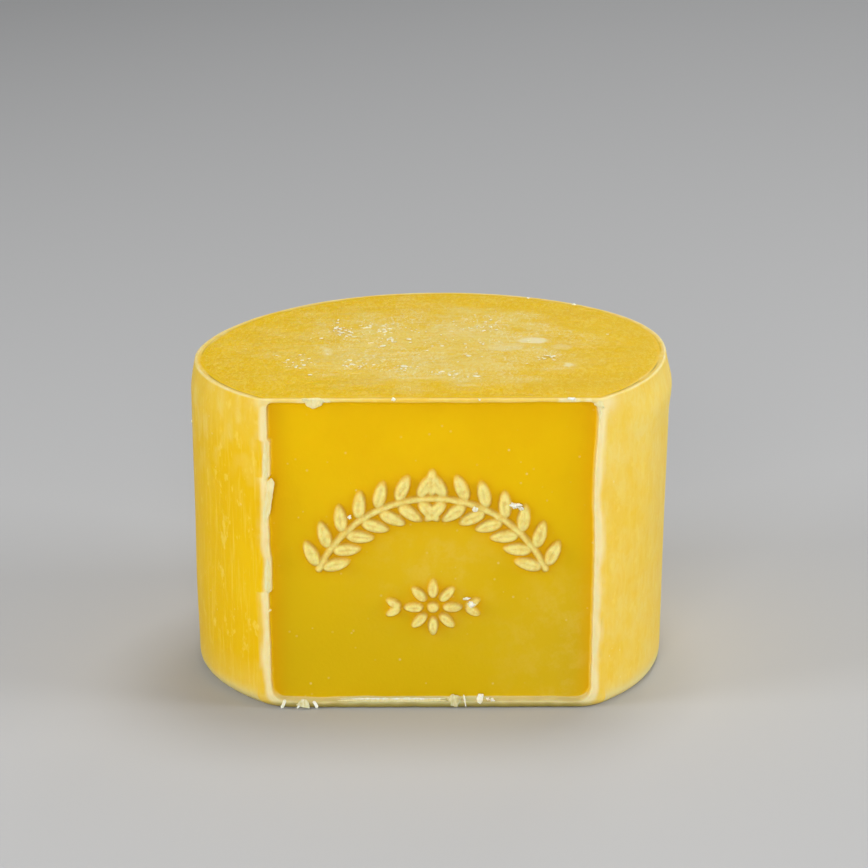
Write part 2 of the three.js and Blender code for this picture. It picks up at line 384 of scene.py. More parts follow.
@dataclass(frozen=True)
class Ornament:
    """A leafy arch with a rosette under it, raised on the panel's floor."""

    arch_centre: Pair = (-0.4, 24.2)
    arch_radius: float = 31.5
    arch_half_angle: float = math.radians(66)
    stem_width: float = 1.9
    stem_height: float = 1.35
    leaf: Triple = (7.6, 3.6, 1.9)
    leaf_splay: float = math.radians(51)
    leaf_pairs: int = 7
    bare_top: float = 0.75
    foot_step: float = 0.1
    root_offset: float = 0.5
    tip_leaf: Triple = (7.4, 3.4, 1.9)
    rosette_centre: Pair = (-0.2, 26.7)
    petals: int = 8
    petal: Triple = (5.3, 2.8, 1.9)
    petal_root: float = 2.35
    boss: Pair = (1.6, 1.7)
    side_leaf: Triple = (4.4, 2.4, 1.7)
    side_root: float = 8.2
    side_splay: float = math.radians(30)

    def on_arch(self, turn: float, offset: float) -> Pair:
        """A place on the arch, at a turn from its top and an offset outwards."""
        radius = self.arch_radius + offset
        return (
            self.arch_centre[0] + radius * math.sin(turn),
            self.arch_centre[1] + radius * math.cos(turn),
        )

    def leaves(self) -> list[Leaf]:
        """Every leaf of the arch, the rosette's petals and the small leaves beside it."""
        made = [Leaf(self.on_arch(0, self.root_offset), math.pi / 2, *self.tip_leaf)]
        for side in (-1, 1):
            for pair in range(self.leaf_pairs):
                step = (pair + self.foot_step) / (self.leaf_pairs - 1 + self.bare_top)
                turn = side * self.arch_half_angle * (1 - step)
                up_branch = -turn + (math.pi if side > 0 else 0)
                for splay in (-1, 1):
                    root = self.on_arch(turn, -splay * side * self.root_offset)
                    made.append(Leaf(root, up_branch + splay * self.leaf_splay, *self.leaf))
        for petal in range(self.petals):
            heading = math.pi / 2 + 2 * math.pi * petal / self.petals
            made.append(Leaf(self.from_rosette(self.petal_root, heading), heading, *self.petal))
        for middle in (0.0, math.pi):
            for splay in (-1, 1):
                root = self.from_rosette(self.side_root, middle)
                made.append(Leaf(root, middle + splay * self.side_splay, *self.side_leaf))
        return made

    def from_rosette(self, distance: float, heading: float) -> Pair:
        """A place at a distance and a heading from the rosette's middle."""
        x, z = self.rosette_centre
        return x + distance * math.cos(heading), z + distance * math.sin(heading)

    def stem(self, x: Array, z: Array) -> Array:
        """How high the arch's stem stands over the panel's floor, at places on the panel."""
        dx, dz = x - self.arch_centre[0], z - self.arch_centre[1]
        beyond = np.clip(np.abs(np.arctan2(dx, dz)) - self.arch_half_angle, 0, None) * self.arch_radius
        off = np.hypot(np.hypot(dx, dz) - self.arch_radius, beyond) / (self.stem_width / 2)
        return self.stem_height * np.sqrt(np.clip(1 - off**2, 0, None))

    def raised(self, x: Array, z: Array) -> Array:
        """How high the ornament stands over the panel's floor.

        Args:
            x: places along X on the panel.
            z: places along Z on the panel.

        Returns:
            The heights there.
        """
        high = np.maximum(self.stem(x, z), Boss(self.rosette_centre, *self.boss).raised(x, z))
        for leaf in self.leaves():
            high = np.maximum(high, leaf.raised(x, z))
        return high


@dataclass(frozen=True)
class Panel:
    """The shallow recess in the flat side, with wavering edges worn pale."""

    left: float = -41.9
    right: float = 40.9
    bottom: float = 1.8
    top: float = 81.4
    depth: float = 2.5
    left_top_corner: float = 1.5
    right_top_corner: float = 0.7
    foot_corner: float = 3.6
    wall: Fade = Fade(-0.1, 0.45)
    brow_ramp: float = 0.4
    brow_reach: float = 1.4
    bottom_waves: Waves = Waves(11, 9.0, height=0.12)
    top_waves: Waves = Waves(12, 11.0, height=0.1)
    left_waves: Waves = Waves(13, 4.0, height=0.06)
    right_waves: Waves = Waves(14, 4.0, height=0.06)
    # Torn curd at the upper right corner: how far right of it, its reach along X and Z, and how wide it is.
    torn_corner: Spot = Spot((0.9, 0.0), 1.4, 1.3)
    torn_height: float = 2.0
    corner_waves: Waves = Waves(15, 1.0, height=0.5)
    # The torn left edge and the wavering right edge: heights, and how far each edge is to the right there.
    left_heights: tuple[float, ...] = (0, 9, 23, 31.1, 31.7, 40.4, 44, 61.6, 62.1, 71.2, 71.8, 82)
    left_shifts: tuple[float, ...] = (0.3, 0.1, -0.2, -0.2, 0.6, 0.6, 0.15, 0.05, 0.6, 0.6, -0.05, 0.0)
    right_heights: tuple[float, ...] = (0, 10, 40, 50.7, 53.3, 54.6, 62.5, 67.8, 72.5, 82)
    right_shifts: tuple[float, ...] = (-0.6, -0.5, -0.05, -0.1, -0.4, -0.3, -0.2, 0.1, 0.45, 0.6)

    def inside(self, x: Array, z: Array) -> Array:
        """How far inside the recess's outline a place is, negative outside it.

        Args:
            x: places along X on the flat side.
            z: places along Z on the flat side.

        Returns:
            The distances, in millimetres.
        """
        left = self.left + self.left_waver(z)
        right = self.right + self.right_waver(z)
        bottom = self.bottom + self.bottom_waves.at(x, 0 * x, 0 * x)
        top = self.top + self.top_waves.at(x, 0 * x, 0 * x)
        corner = np.where(x < 0, self.left_top_corner, self.right_top_corner)
        corner = np.where(2 * z > self.top + self.bottom, corner, self.foot_corner)
        dx = np.maximum(left - x, x - right) + corner
        dz = np.maximum(bottom - z, z - top) + corner
        outside = np.hypot(np.clip(dx, 0, None), np.clip(dz, 0, None))
        distance = corner - outside - np.clip(np.maximum(dx, dz), None, 0)
        return distance - self.ragged_corner(x, z)

    def left_waver(self, z: Array) -> Array:
        """How far the left edge is to the right of its mean place, at heights."""
        torn = np.interp(z, self.left_heights, self.left_shifts)
        return torn + self.left_waves.at(0 * z, 0 * z, z)

    def right_waver(self, z: Array) -> Array:
        """How far the right edge is to the right of its mean place, at heights."""
        torn = np.interp(z, self.right_heights, self.right_shifts)
        return torn + self.right_waves.at(0 * z, 0 * z, z)

    def ragged_corner(self, x: Array, z: Array) -> Array:
        """How far torn curd at the upper right corner narrows the recess."""
        torn = self.torn_corner
        near = bell(x - (self.right + torn.middle[0]), torn.reach) * bell(z - self.top, self.torn_height)
        return near * (torn.strength + self.corner_waves.at(x, 0 * x, z))

    def sunk(self, x: Array, z: Array) -> Array:
        """How deep the recess is at places on the flat side."""
        share = self.wall.at(self.inside(x, z))
        near_brow = self.brow_ramp * smooth(self.top - self.brow_reach, self.top, z)
        return (self.depth - near_brow) * share


@dataclass(frozen=True)
class Corner:
    """One worn corner between the round wall and the flat side, row by row, as a curve in plan."""

    side: int
    wall_end: Array
    wall_back: Array
    sharp: Array
    reach: Array

    def back(self, x: Array) -> Array:
        """How far behind the flat side the corner's surface lies, at one row of X places for each height."""
        start = self.side * self.wall_end[:, None]
        ridge = self.side * self.sharp[:, None]
        end = ridge - self.reach[:, None]
        place = np.clip(self.side * x, end, start)
        bend, run = start - 2 * ridge + end, 2 * (ridge - start)
        root = np.sqrt(np.clip(run**2 - 4 * bend * (start - place), 0, None))
        along = 2 * (start - place) / (root - run)
        return (1 - np.clip(along, 0, 1)) ** 2 * self.wall_back[:, None]


@dataclass(frozen=True)
class Dryness:
    """Where the block is dry and pale: on its wall, on the panel's floor and on its top. On the right wall
    and in the top's middle the paleness is partly painted sheen, kept off the top's left.

    A fade tells between which places, along X on the wall and the panel or up it, the dryness grows.
    """

    patches: Waves = Waves(43, 17.0, 20)
    mottling: Waves = Waves(47, 6.0, 24, stretch=(1, 1, 1.5))
    mottled: Fade = Fade(-0.9, 0.9)
    blotches: Waves = Waves(46, 5.0, 22, stretch=(1, 1, 1.8))
    blotched: Fade = Fade(-0.1, 0.9)
    under_arch: Spot = Spot((-0.4, 37.0), 17.0, 0.6, (1.0, 1.2))
    panel_right: Fade = Fade(5, 38)
    panel_low: Fade = Fade(48, 15)
    panel_corner: float = 0.55
    panel_even: float = 0.6
    # The right wall paler: dry patches and painted sheen from the light on the right.
    right_dry_and_sheen: Fade = Fade(-20, 46)
    right_high: Fade = Fade(50, 76)
    right_low_share: float = 0.72
    # The right wall's shares: even, patchy and mottled.
    right_shares: Triple = (0.6, 0.2, 0.3)
    left_wall: Fade = Fade(0, -30)
    left_blotches: Fade = Fade(50, 72)
    left_high: Fade = Fade(64, 78)
    # The left wall's shares: in blotches, and all over near the top.
    left_shares: Pair = (0.4, 0.3)
    low_wall: Fade = Fade(14, 2)
    low_share: float = 0.4
    # The pale oval on the top, dry smears and painted sheen: its middle, its half sizes, and the shares of
    # them between which it ends.
    top_middle: Pair = (-4.0, 5.0)
    top_half: Pair = (47.0, 44.0)
    top_ends: Fade = Fade(1.16, 0.6)
    top_waves: Waves = Waves(57, 11.0, 24, height=0.13)
    # Less painted sheen at the top's left.
    top_left_sheen_fade: Fade = Fade(-14, -42)
    top_left_sheen_loss: float = 0.6

    def on_walls(self, x: Array, y: Array, z: Array, panel: Array) -> Array:
        """How dry and pale the wall and the panel are, with painted sheen on the right wall.

        Args:
            x: places along X.
            y: places along Y.
            z: heights.
            panel: where the panel's floor is.

        Returns:
            The dryness there, from 0 to 1.
        """
        patchy = 0.5 + 0.5 * self.patches.at(x, y, z)
        corner = self.panel_right.at(x) * self.panel_low.at(z) * self.panel_corner
        uneven = self.panel_even + (1 - self.panel_even) * patchy
        on_panel = (self.under_arch.at(x, z) + corner) * uneven
        even, by_patch, by_mottle = self.right_shares
        uneven = even + by_patch * patchy + by_mottle * self.mottled.at(self.mottling.at(x, y, z))
        high = self.right_low_share + (1 - self.right_low_share) * self.right_high.at(z)
        on_right_dry_and_sheen = self.right_dry_and_sheen.at(x) * uneven * high
        by_blotch, near_top = self.left_shares
        blotchy = by_blotch * self.blotched.at(self.blotches.at(x, y, z)) * self.left_blotches.at(z)
        on_left = self.left_wall.at(x) * (blotchy + near_top * self.left_high.at(z))
        on_wall = np.maximum.reduce([on_right_dry_and_sheen, on_left, self.low_share * self.low_wall.at(z)])
        return np.clip(on_panel * panel + on_wall * (1 - panel), 0, 1)

    def on_top(self, x: Array, y: Array) -> Array:
        """How dry and pale the top is at places on it, with painted sheen in its middle that fades towards
        its left.
        """
        aside, along = x - self.top_middle[0], y - self.top_middle[1]
        out = np.hypot(aside / self.top_half[0], along / self.top_half[1])
        out = out + self.top_waves.at(x, y, 0 * x)
        return self.top_ends.at(out) * (1 - self.top_left_sheen_loss * self.top_left_sheen_fade.at(x))


@dataclass(frozen=True)
class Scar:
    """A dry oval mark on the top: its middle, its half sizes and how pale it is."""

    middle: Pair
    half: Pair
    pale: float
    ends: Fade = Fade(1.1, 0.8)
    waves: Waves = Waves(58, 3.0, height=0.1)

    def at(self, x: Array, y: Array) -> Array:
        """How strong the mark is at places on the top."""
        out = np.hypot((x - self.middle[0]) / self.half[0], (y - self.middle[1]) / self.half[1])
        return self.pale * self.ends.at(out + self.waves.at(x, y, 0 * x))


@dataclass(frozen=True)
class Wear:
    """How the block's edges are worn and smeared, and where shade, sheen and highlights are painted, place by
    place, as masks for its finish to read.

    Distances from the panel's edge are positive on the land round the panel, and shares run from 0 to 1.
    """

    drum: Drum
    panel: Panel
    ornament: Ornament
    dryness: Dryness = field(default_factory=Dryness)
    ragged: Waves = Waves(41, 3.2, 22)
    near_flat: float = 12.0
    far_off: float = 60.0
    # The pale band on the land: where it ends, how it wavers, and where the land itself begins.
    band: Fade = Fade(2.5, 1.0)
    band_waves: Waves = Waves(44, 6.0, height=0.3)
    band_ragged: float = 0.15
    land: Fade = Fade(-0.3, 0.0)
    # The band is barer under the top's edge, by the depth below it, and at the foot, by the height.
    brow: Fade = Fade(2.6, 0.6)
    brow_bare: float = 0.85
    foot: Fade = Fade(2.3, 0.5)
    foot_bare: float = 0.75
    # Smears under the top's edge: one by the left corner, and ragged ones towards the right.
    left_smear: Pair = (-30.0, 5.0)
    right_smears: Fade = Fade(22, 34)
    smear_waves: Waves = Waves(45, 5.0, 20)
    smear_torn: Fade = Fade(-0.6, 0.5)
    # The pale line along the top's edge, a painted highlight over worn curd, and how much less of it the flat
    # side has.
    edge_highlight_start: float = 0.1
    edge_highlight_reach: float = 0.25
    edge_highlight_even: float = 0.6
    edge_highlight_share: float = 0.75
    edge_highlight_front_loss: float = 0.35
    # The pale corners of the flat side, by how far right of the panel and above the top their middles are.
    left_corner: Spot = Spot((0.0, 0.0), 3.2, 0.75, (1.0, 1.2))
    right_corner: Spot = Spot((1.6, -1.5), 2.6, 0.9, (0.7, 1.0))
    corner_land: Fade = Fade(-0.3, 0.05)
    corner_front: Fade = Fade(-20, -35)
    worn_even: float = 0.86
    full_relief: float = 1.5
    # The panel's floor, the painted shade that darkens it towards its foot, and the painted orange shade
    # inside its sides, where the recess's walls shade it.
    floor: Fade = Fade(0.2, 0.9)
    floor_low_shade: Fade = Fade(74, 14)
    side_shade: float = 0.8
    side_shade_start: float = 0.6
    side_shade_reach: float = 3.0
    # The painted orange shade round the ornament, where it shades the panel's floor, on a grid of places: its
    # step, its span, its reach and its gain.
    shade_step: float = 0.4
    shade_span: Pair = (-48.0, 48.0)
    shade_heights: Pair = (-6.0, 90.0)
    shade_reach: float = 1.6
    shade_kernel: int = 10
    shade_gain: float = 2.2
    # The strip under the panel: its middle, where it ends, and how pale it is; and the painted shade on its
    # lower part, which curves under.
    strip_middle: float = -0.6
    strip_ends: Fade = Fade(46, 36)
    strip_edge: Fade = Fade(0.62, 0.4)
    strip_height: Fade = Fade(4.0, 2.8)
    strip_pale: float = 0.62
    strip_left: Fade = Fade(-27, -20)
    strip_right: Fade = Fade(18, 10)
    painted_shade: Fade = Fade(2.2, 0.8)
    painted_shade_ragged: float = 0.2
    # The painted greyish shade where the round wall curves under, towards the front.
    under_height: float = 1.6
    under_reach: float = 1.9
    under_share: float = 0.6
    under_front: Fade = Fade(10, -25)
    # The top's rim: the band's mean width, how softly it ends and how it wavers.
    rim_width: float = 1.35
    rim_soft: float = 0.45
    rim_waves: Waves = Waves(56, 19.0, height=0.35)
    rim_ragged: Waves = Waves(55, 4.5, 22)
    rim_even: float = 0.35
    rim_torn: float = 0.4
    rim_front: float = 0.35
    top_edge_highlight_front: float = 0.4
    round_side: Fade = Fade(-46.5, -44)
    top_start: Fade = Fade(1.2, 2.6)
    scars: tuple[Scar, ...] = (
        Scar((26.6, 10.5), (3.9, 3.2), 1.0),
        Scar((19.1, 3.7), (5.2, 4.6), 0.35),
        Scar((34.0, 3.5), (2.8, 2.8), 0.35),
        Scar((35.2, -15.1), (1.7, 1.6), 0.85),
        Scar((-27.9, -1.2), (1.4, 4.6), 0.45),
    )

    def wall_masks(self, grid: Array, wall_columns: int) -> dict[Mask, Array]:
        """The masks over the wall and the flat side.

        Args:
            grid: the vertices, as rows by columns by 3.
            wall_columns: how many of the columns belong to the round wall.

        Returns:
            Each mask, as rows by columns.
        """
        x, y, z = grid[..., 0], grid[..., 1], grid[..., 2]
        ragged = 0.5 + 0.5 * self.ragged.at(x, y, z)
        facing = np.zeros_like(x)
        facing[:, wall_columns:] = 1.0
        near = y < -self.drum.flat + self.near_flat
        outside = np.where(near, -self.panel.inside(x, z), self.far_off)
        panel = self.floor.at(-outside) * facing
        strip = self.strip(x, z, outside) * facing
        masks = {mask: np.zeros_like(x) for mask in Mask}
        front = (slice(None), slice(wall_columns, None))
        masks[Mask.RAISED][front] = self.ornament.raised(x[front], z[front]) / self.full_relief
        masks[Mask.RAISED] = np.clip(masks[Mask.RAISED], 0, 1)
        # Painted shade round the ornament on the panel's floor, and inside its sides.
        masks[Mask.HALO][front] = self.occlusion_shade(x[front], z[front])
        masks[Mask.HALO] = np.maximum(masks[Mask.HALO], self.beside(x) * panel)
        masks[Mask.WORN_AND_EDGE_HIGHLIGHT] = self.worn(grid, outside, ragged, facing)
        masks[Mask.PANEL] = panel
        # Painted shade on the strip's lower part, which curves under.
        masks[Mask.PAINTED_SHADE] = strip * self.painted_shade.at(z + self.painted_shade_ragged * (ragged - 0.5))
        masks[Mask.DRY_AND_SHEEN] = self.dryness.on_walls(x, y, z, panel)
        # Grey on the strip, partly painted shade, and painted greyish shade where the round wall curves
        # under.
        masks[Mask.GREY] = np.maximum(strip * self.paler_strip(x), self.foot_grey_shade(y, z) * (1 - facing))
        # Painted shade: the panel's floor darker towards its foot.
        masks[Mask.LOW] = panel * self.floor_low_shade.at(z)
        return masks

    def worn(self, grid: Array, outside: Array, ragged: Array, facing: Array) -> Array:
        """How worn and pale the edges of the wall and the flat side are, with a painted highlight under the
        top's edge.

        Args:
            grid: the vertices, as rows by columns by 3.
            outside: how far they are outside the panel.
            ragged: fine unevenness there, from about 0 to 1.
            facing: 1 on the flat side and 0 on the round wall.

        Returns:
            The wear and the painted highlight there, from 0 to 1.
        """
        x, y, z = grid[..., 0], grid[..., 1], grid[..., 2]
        below = self.drum.height - z
        waver = self.band_waves.at(x, y, z) + self.band_ragged * (ragged - 0.5)
        band = self.band.at(outside + waver) * self.land.at(outside)
        band = band * (1 - self.brow_bare * self.brow.at(below) * (1 - self.brow_smears(x, y)))
        band = band * (1 - self.foot_bare * self.foot.at(z))
        # The pale line under the top's edge: a painted highlight over worn curd.
        line = bell(np.clip(below - self.edge_highlight_start, 0, None), self.edge_highlight_reach)
        line = line * (self.edge_highlight_even + (1 - self.edge_highlight_even) * ragged)
        line = line * (self.edge_highlight_share - self.edge_highlight_front_loss * facing)
        left = self.left_corner.at(x - self.panel.left, -below)
        right = self.right_corner.at(x - self.panel.right, -below)
        corners = np.maximum(left, right) * self.corner_land.at(outside) * self.corner_front.at(y)
        worn = np.maximum.reduce([band, line, corners])
        return np.clip(worn * (self.worn_even + (1 - self.worn_even) * ragged), 0, 1)

    def brow_smears(self, x: Array, y: Array) -> Array:
        """Where the strip over the panel is smeared pale."""
        middle, reach = self.left_smear
        torn = self.smear_torn.at(self.smear_waves.at(x, y, 0 * x))
        return np.clip(np.maximum(bell(x - middle, reach), self.right_smears.at(x) * torn), 0, 1)

    def beside(self, x: Array) -> Array:
        """How deep the painted orange shade is inside the panel's left and right edges, where the recess's
        walls shade its floor.
        """
        from_sides = np.minimum(x - self.panel.left, self.panel.right - x)
        return self.side_shade * bell(from_sides - self.side_shade_start, self.side_shade_reach)

    def strip(self, x: Array, z: Array, outside: Array) -> Array:
        """Where the strip under the panel is."""
        along = self.strip_ends.at(np.abs(x - self.strip_middle))
        return along * self.strip_edge.at(-outside) * self.strip_height.at(z)

    def paler_strip(self, x: Array) -> Array:
        """How grey the strip under the panel is, partly as painted shade: most in the middle, yellower at
        both ends.
        """
        return self.strip_pale + (1 - self.strip_pale) * self.strip_left.at(x) * self.strip_right.at(x)

    def foot_grey_shade(self, y: Array, z: Array) -> Array:
        """How greyish the round wall is where it curves under, towards the front: painted shade."""
        return self.under_share * bell(z - self.under_height, self.under_reach) * self.under_front.at(y)

    def occlusion_shade(self, x: Array, z: Array) -> Array:
        """How deep the painted shade is on the panel's floor near the raised ornament.

        Args:
            x: places along X on the flat side.
            z: places along Z on the flat side.

        Returns:
            The painted shade there, from 0 to 1.
        """
        step = self.shade_step
        places, heights = np.arange(*self.shade_span, step), np.arange(*self.shade_heights, step)
        high = np.clip(self.ornament.raised(places[None, :], heights[:, None]), 0, 1)
        offsets = np.arange(-self.shade_kernel, self.shade_kernel + 1) * step
        kernel = bell(offsets, self.shade_reach)
        kernel /= kernel.sum()
        for axis in (0, 1):
            high = np.apply_along_axis(np.convolve, axis, high, kernel, "same")
        column = np.clip((x - places[0]) / step, 0, len(places) - 2)
        row = np.clip((z - heights[0]) / step, 0, len(heights) - 2)
        i, j = row.astype(int), column.astype(int)
        v, u = row - i, column - j
        below = high[i, j] * (1 - u) + high[i, j + 1] * u
        above = high[i + 1, j] * (1 - u) + high[i + 1, j + 1] * u
        return np.clip(self.shade_gain * (below * (1 - v) + above * v), 0, 1)

    def top_masks(self, x: Array, y: Array, inward: Array, groove: Array) -> dict[Mask, Array]:
        """The masks over the top, and over the vertex in its middle.

        Args:
            x: places along X on the top.
            y: places along Y on the top.
            inward: how far inside the top's outline they are.
            groove: how deep the groove inside the rim is there, from 0 to 1.

        Returns:
            Each mask, as one row of numbers.
        """
        ragged = 0.5 + 0.5 * self.rim_ragged.at(x, y, 0 * x)
        width = self.rim_width + self.rim_waves.at(x, y, 0 * x)
        round_side = self.round_side.at(y)
        rim = smooth(width + self.rim_soft, width - self.rim_soft, inward)
        # The pale line at the top's edge: a painted highlight over worn curd.
        line = bell(inward, self.edge_highlight_reach) * (self.edge_highlight_even + (1 - self.edge_highlight_even) * ragged)
        edge_highlight_share = self.top_edge_highlight_front + (self.edge_highlight_share - self.top_edge_highlight_front) * round_side
        scarred = np.maximum.reduce([scar.at(x, y) for scar in self.scars])
        masks = {mask: np.zeros_like(x) for mask in Mask}
        masks[Mask.WORN_AND_EDGE_HIGHLIGHT] = line * edge_highlight_share
        masks[Mask.RIM] = rim * (self.rim_even + self.rim_torn * ragged)
        masks[Mask.RIM] *= self.rim_front + (1 - self.rim_front) * round_side
        masks[Mask.TOP] = self.top_start.at(inward)
        # Painted shade in the groove inside the rim.
        masks[Mask.PAINTED_SHADE] = groove
        # Dry smears and marks, with painted sheen in the top's middle.
        masks[Mask.DRY_AND_SHEEN] = self.dryness.on_top(x, y) * (1 - scarred) + scarred
        masks[Mask.GREY] = scarred
        ended = {mask: np.append(values.ravel(), 0.0) for mask, values in masks.items()}
        ended[Mask.TOP][-1] = 1.0
        return ended


@dataclass
class Block:
    """The whole block: its outline, its wall, its flat side and its two ends."""

    drum: Drum = field(default_factory=Drum)
    panel: Panel = field(default_factory=Panel)
    ornament: Ornament = field(default_factory=Ornament)
    flat_foot_rounding: float = 1.2
    rim_rounding: float = 0.45
    brow_rounding: float = 0.55
    arc_step: float = 1.7
    flat_step: float = 0.28
    edge_step: float = 0.13
    edge_band: float = 1.5
    edge_margin: Pair = (0.7, 1.0)
    brow_margin: float = 0.3
    corner_margin: float = 0.4
    rounding_rows: int = 7
    corner_columns: int = 14
    relief_radius: float = 60.0
    wall_slow: Waves = Waves(21, 38.0, stretch=(1, 1, 1.6), height=0.13)
    wall_fine: Waves = Waves(22, 9.0, stretch=(1, 1, 3.5), height=0.05)
    land_waves: Waves = Waves(31, 5.0, height=0.08)
    land_ends: Fade = Fade(1.5, 0.0)
    floor_waves: Waves = Waves(32, 26.0, height=0.1)
    ornament_waves: Waves = Waves(33, 2.2, height=0.07)
    # The top sinks a little inside its rim, and is uneven from there inwards.
    top_sunk: float = 0.12
    top_sinks: Fade = Fade(1.4, 2.6)
    top_smears: Waves = Waves(53, 2.6, 26, stretch=(2.4, 1, 1), height=0.05)
    top_slow: Waves = Waves(54, 24.0, height=0.12)
    top_uneven: Fade = Fade(2.0, 6.0)
    # The groove inside the rim: its size, and where it is deep.
    groove_depth: float = 0.25
    groove_inward: float = 1.15
    groove_reach: float = 0.22
    groove_least: float = 0.25
    groove_middle: float = -1.0
    groove_corners: Spot = Spot((50.0, -34.0), 22.0, 1.0, (1.0, 0.8))
    groove_front: float = 0.7
    groove_forward: Fade = Fade(-43, -46)
    groove_waves: Waves = Waves(52, 17.0)
    groove_fades: Fade = Fade(-1.2, 0.3)
    # The rings that close the top and the underside, by how far inside the outline they are.
    edge_rings: tuple[float, ...] = (0.12, 0.3, 0.5, 0.7, 0.85, 1.0, 1.15, 1.3, 1.45, 1.7, 2.0, 2.4, 3.0, 3.6)
    inner_rings: Pair = (4.4, 58.5)
    top_ring_step: float = 1.0
    under_ring_step: float = 9.0
    ring_middle: Triple = (0.0, 6.0, 0.0)
    ring_reach: float = 60.0
    skin: Skin = field(default_factory=Skin)

    def wear(self) -> Wear:
        """The block's wear."""
        return Wear(self.drum, self.panel, self.ornament)

    def heights(self) -> Array:
        """The heights of the wall's rows, close together where the foot, the panel and the rim turn."""
        top, band = self.drum.height, self.edge_band
        quarter = np.sin(np.linspace(0, math.pi / 2, self.rounding_rows))
        foot = self.flat_foot_rounding * (1 - quarter[::-1])
        rim = top - self.brow_rounding * (1 - quarter)
        low = spread(self.flat_foot_rounding, self.panel.bottom + band, self.edge_step)
        high_start = self.panel.top - band - self.brow_margin
        main = spread(self.panel.bottom + band, high_start, self.flat_step)
        high = spread(high_start, top - self.brow_rounding, self.edge_step)
        return np.concatenate([foot[:-1], low[:-1], main[:-1], high[:-1], rim])

    def across(self) -> Array:
        """The X places of the flat side's columns."""
        low, high = self.panel.left - self.edge_margin[0], self.panel.right + self.edge_margin[1]
        left, right = self.panel.left + self.edge_band, self.panel.right - self.edge_band
        columns = [(low, left, self.edge_step), (left, right, self.flat_step), (right, high, self.edge_step)]
        return np.concatenate([spread(*part)[:-1] for part in columns] + [[high]])

    def corners(self, z: Array, inset: Array, flat: Array) -> tuple[Corner, Corner, Array, Array]:
        """The two worn corners, and the angles at which the round wall begins and ends.

        Args:
            z: the rows' heights.
            inset: how far the round wall is drawn in there.
            flat: how far the flat side is from the axis there.

        Returns:
            The right corner, the left corner, and the wall's first and last angles.
        """
        found, ends = [], []
        for side in (1, -1):
            angle = self.drum.corner(side, z, inset, flat)
            radius = self.drum.wall(angle, z, inset)
            end = angle + side * self.drum.reach(z) / radius
            at_end = self.drum.wall(end, z, inset) + self.wall_relief(end, z)
            back = at_end * np.sin(end) + flat
            wall_end, sharp = at_end * np.cos(end), radius * np.cos(angle)
            found.append(Corner(side, wall_end, back, sharp, self.drum.reach(z)))
            ends.append(end)
        return found[0], found[1], ends[0], ends[1] + 2 * math.pi

    def wall_grid(self) -> tuple[Array, int]:
        """The places of the wall's vertices, row by row.

        Returns:
            The vertices, as rows by columns by 3, and how many columns belong to the round wall.
        """
        z = self.heights()
        inset = turned_in(self.drum.height - z, self.rim_rounding)
        brow = turned_in(self.drum.height - z, self.brow_rounding)
        flat = self.drum.flat - brow - turned_in(z, self.flat_foot_rounding)
        right, left, start, end = self.corners(z, inset, flat)
        count = int((end - start).mean() * self.drum.top_radius / self.arc_step)
        share = np.linspace(0, 1, count)
        angle = start[:, None] * (1 - share) + end[:, None] * share
        rows = np.broadcast_to(z[:, None], angle.shape)
        radius = self.drum.wall(angle, rows, inset[:, None]) + self.wall_relief(angle, rows)
        arc = np.stack([radius * np.cos(angle), radius * np.sin(angle), rows], axis=-1)
        fixed = self.across()
        squeeze_left = np.minimum(1, (-left.wall_end - self.corner_margin) / -fixed[0])[:, None]
        squeeze_right = np.minimum(1, (right.wall_end - self.corner_margin) / fixed[-1])[:, None]
        middle = np.where(fixed[None] < 0, fixed[None] * squeeze_left, fixed[None] * squeeze_right)
        step = np.linspace(0, 1, self.corner_columns + 2)[None, 1:-1]
        outer_left = left.wall_end[:, None] * (1 - step) + middle[:, :1] * step
        outer_right = middle[:, -1:] * (1 - step) + right.wall_end[:, None] * step
        x = np.concatenate([outer_left, middle, outer_right], axis=1)
        front = self.flat_side(x, z, flat, left.back(x) + right.back(x))
        return np.concatenate([arc, front], axis=1), count

    def wall_relief(self, angle: Array, z: Array) -> Array:
        """How far the round wall's slow unevenness stands out."""
        x, y = self.relief_radius * np.cos(angle), self.relief_radius * np.sin(angle)
        return self.wall_slow.at(x, y, z) + self.wall_fine.at(x, y, z)

    def flat_side(self, x: Array, z: Array, flat: Array, back: Array) -> Array:
        """Places of the flat side's surface, sunk where the panel is and raised where its ornament is.

        Args:
            x: the places along X, one row for each height.
            z: the rows' heights.
            flat: the rows' distances from the axis to the flat side.
            back: how far the worn corners lie behind the flat side at those places.

        Returns:
            The vertices, as rows by columns by 3.
        """
        rows = np.broadcast_to(z[:, None], x.shape)
        sunk = self.panel.sunk(x, rows)
        high = self.ornament.raised(x, rows)
        lumpy = 1 + self.ornament_waves.at(x, 0 * x, rows)
        land = 1 - sunk / self.panel.depth
        uneven = self.land_waves.at(x, 0 * x, rows) * land * self.land_ends.at(back)
        floor = self.floor_waves.at(x, 0 * x, rows) * (1 - land)
        y = -flat[:, None] + back * land + sunk - high * lumpy * (1 - land) + uneven + floor
        return np.stack([x, y, rows], axis=-1)

    def build(self) -> bpy.types.Object:
        """Builds the block's closed skin with its masks."""
        grid, wall_columns = self.wall_grid()
        rows, columns = grid.shape[:2]
        index = self.skin.extend(grid) + np.arange(rows * columns).reshape(rows, columns)
        self.skin.grid(index, closed=True)
        masks = self.wear().wall_masks(grid, wall_columns)
        top = self.end_cap(grid[-1], index[-1], is_top=True)
        foot = self.end_cap(grid[0], index[0], is_top=False)
        for mask in Mask:
            self.skin.masks[mask] = np.concatenate([masks[mask].ravel(), top[mask], foot[mask]])
        return self.skin.build("block")

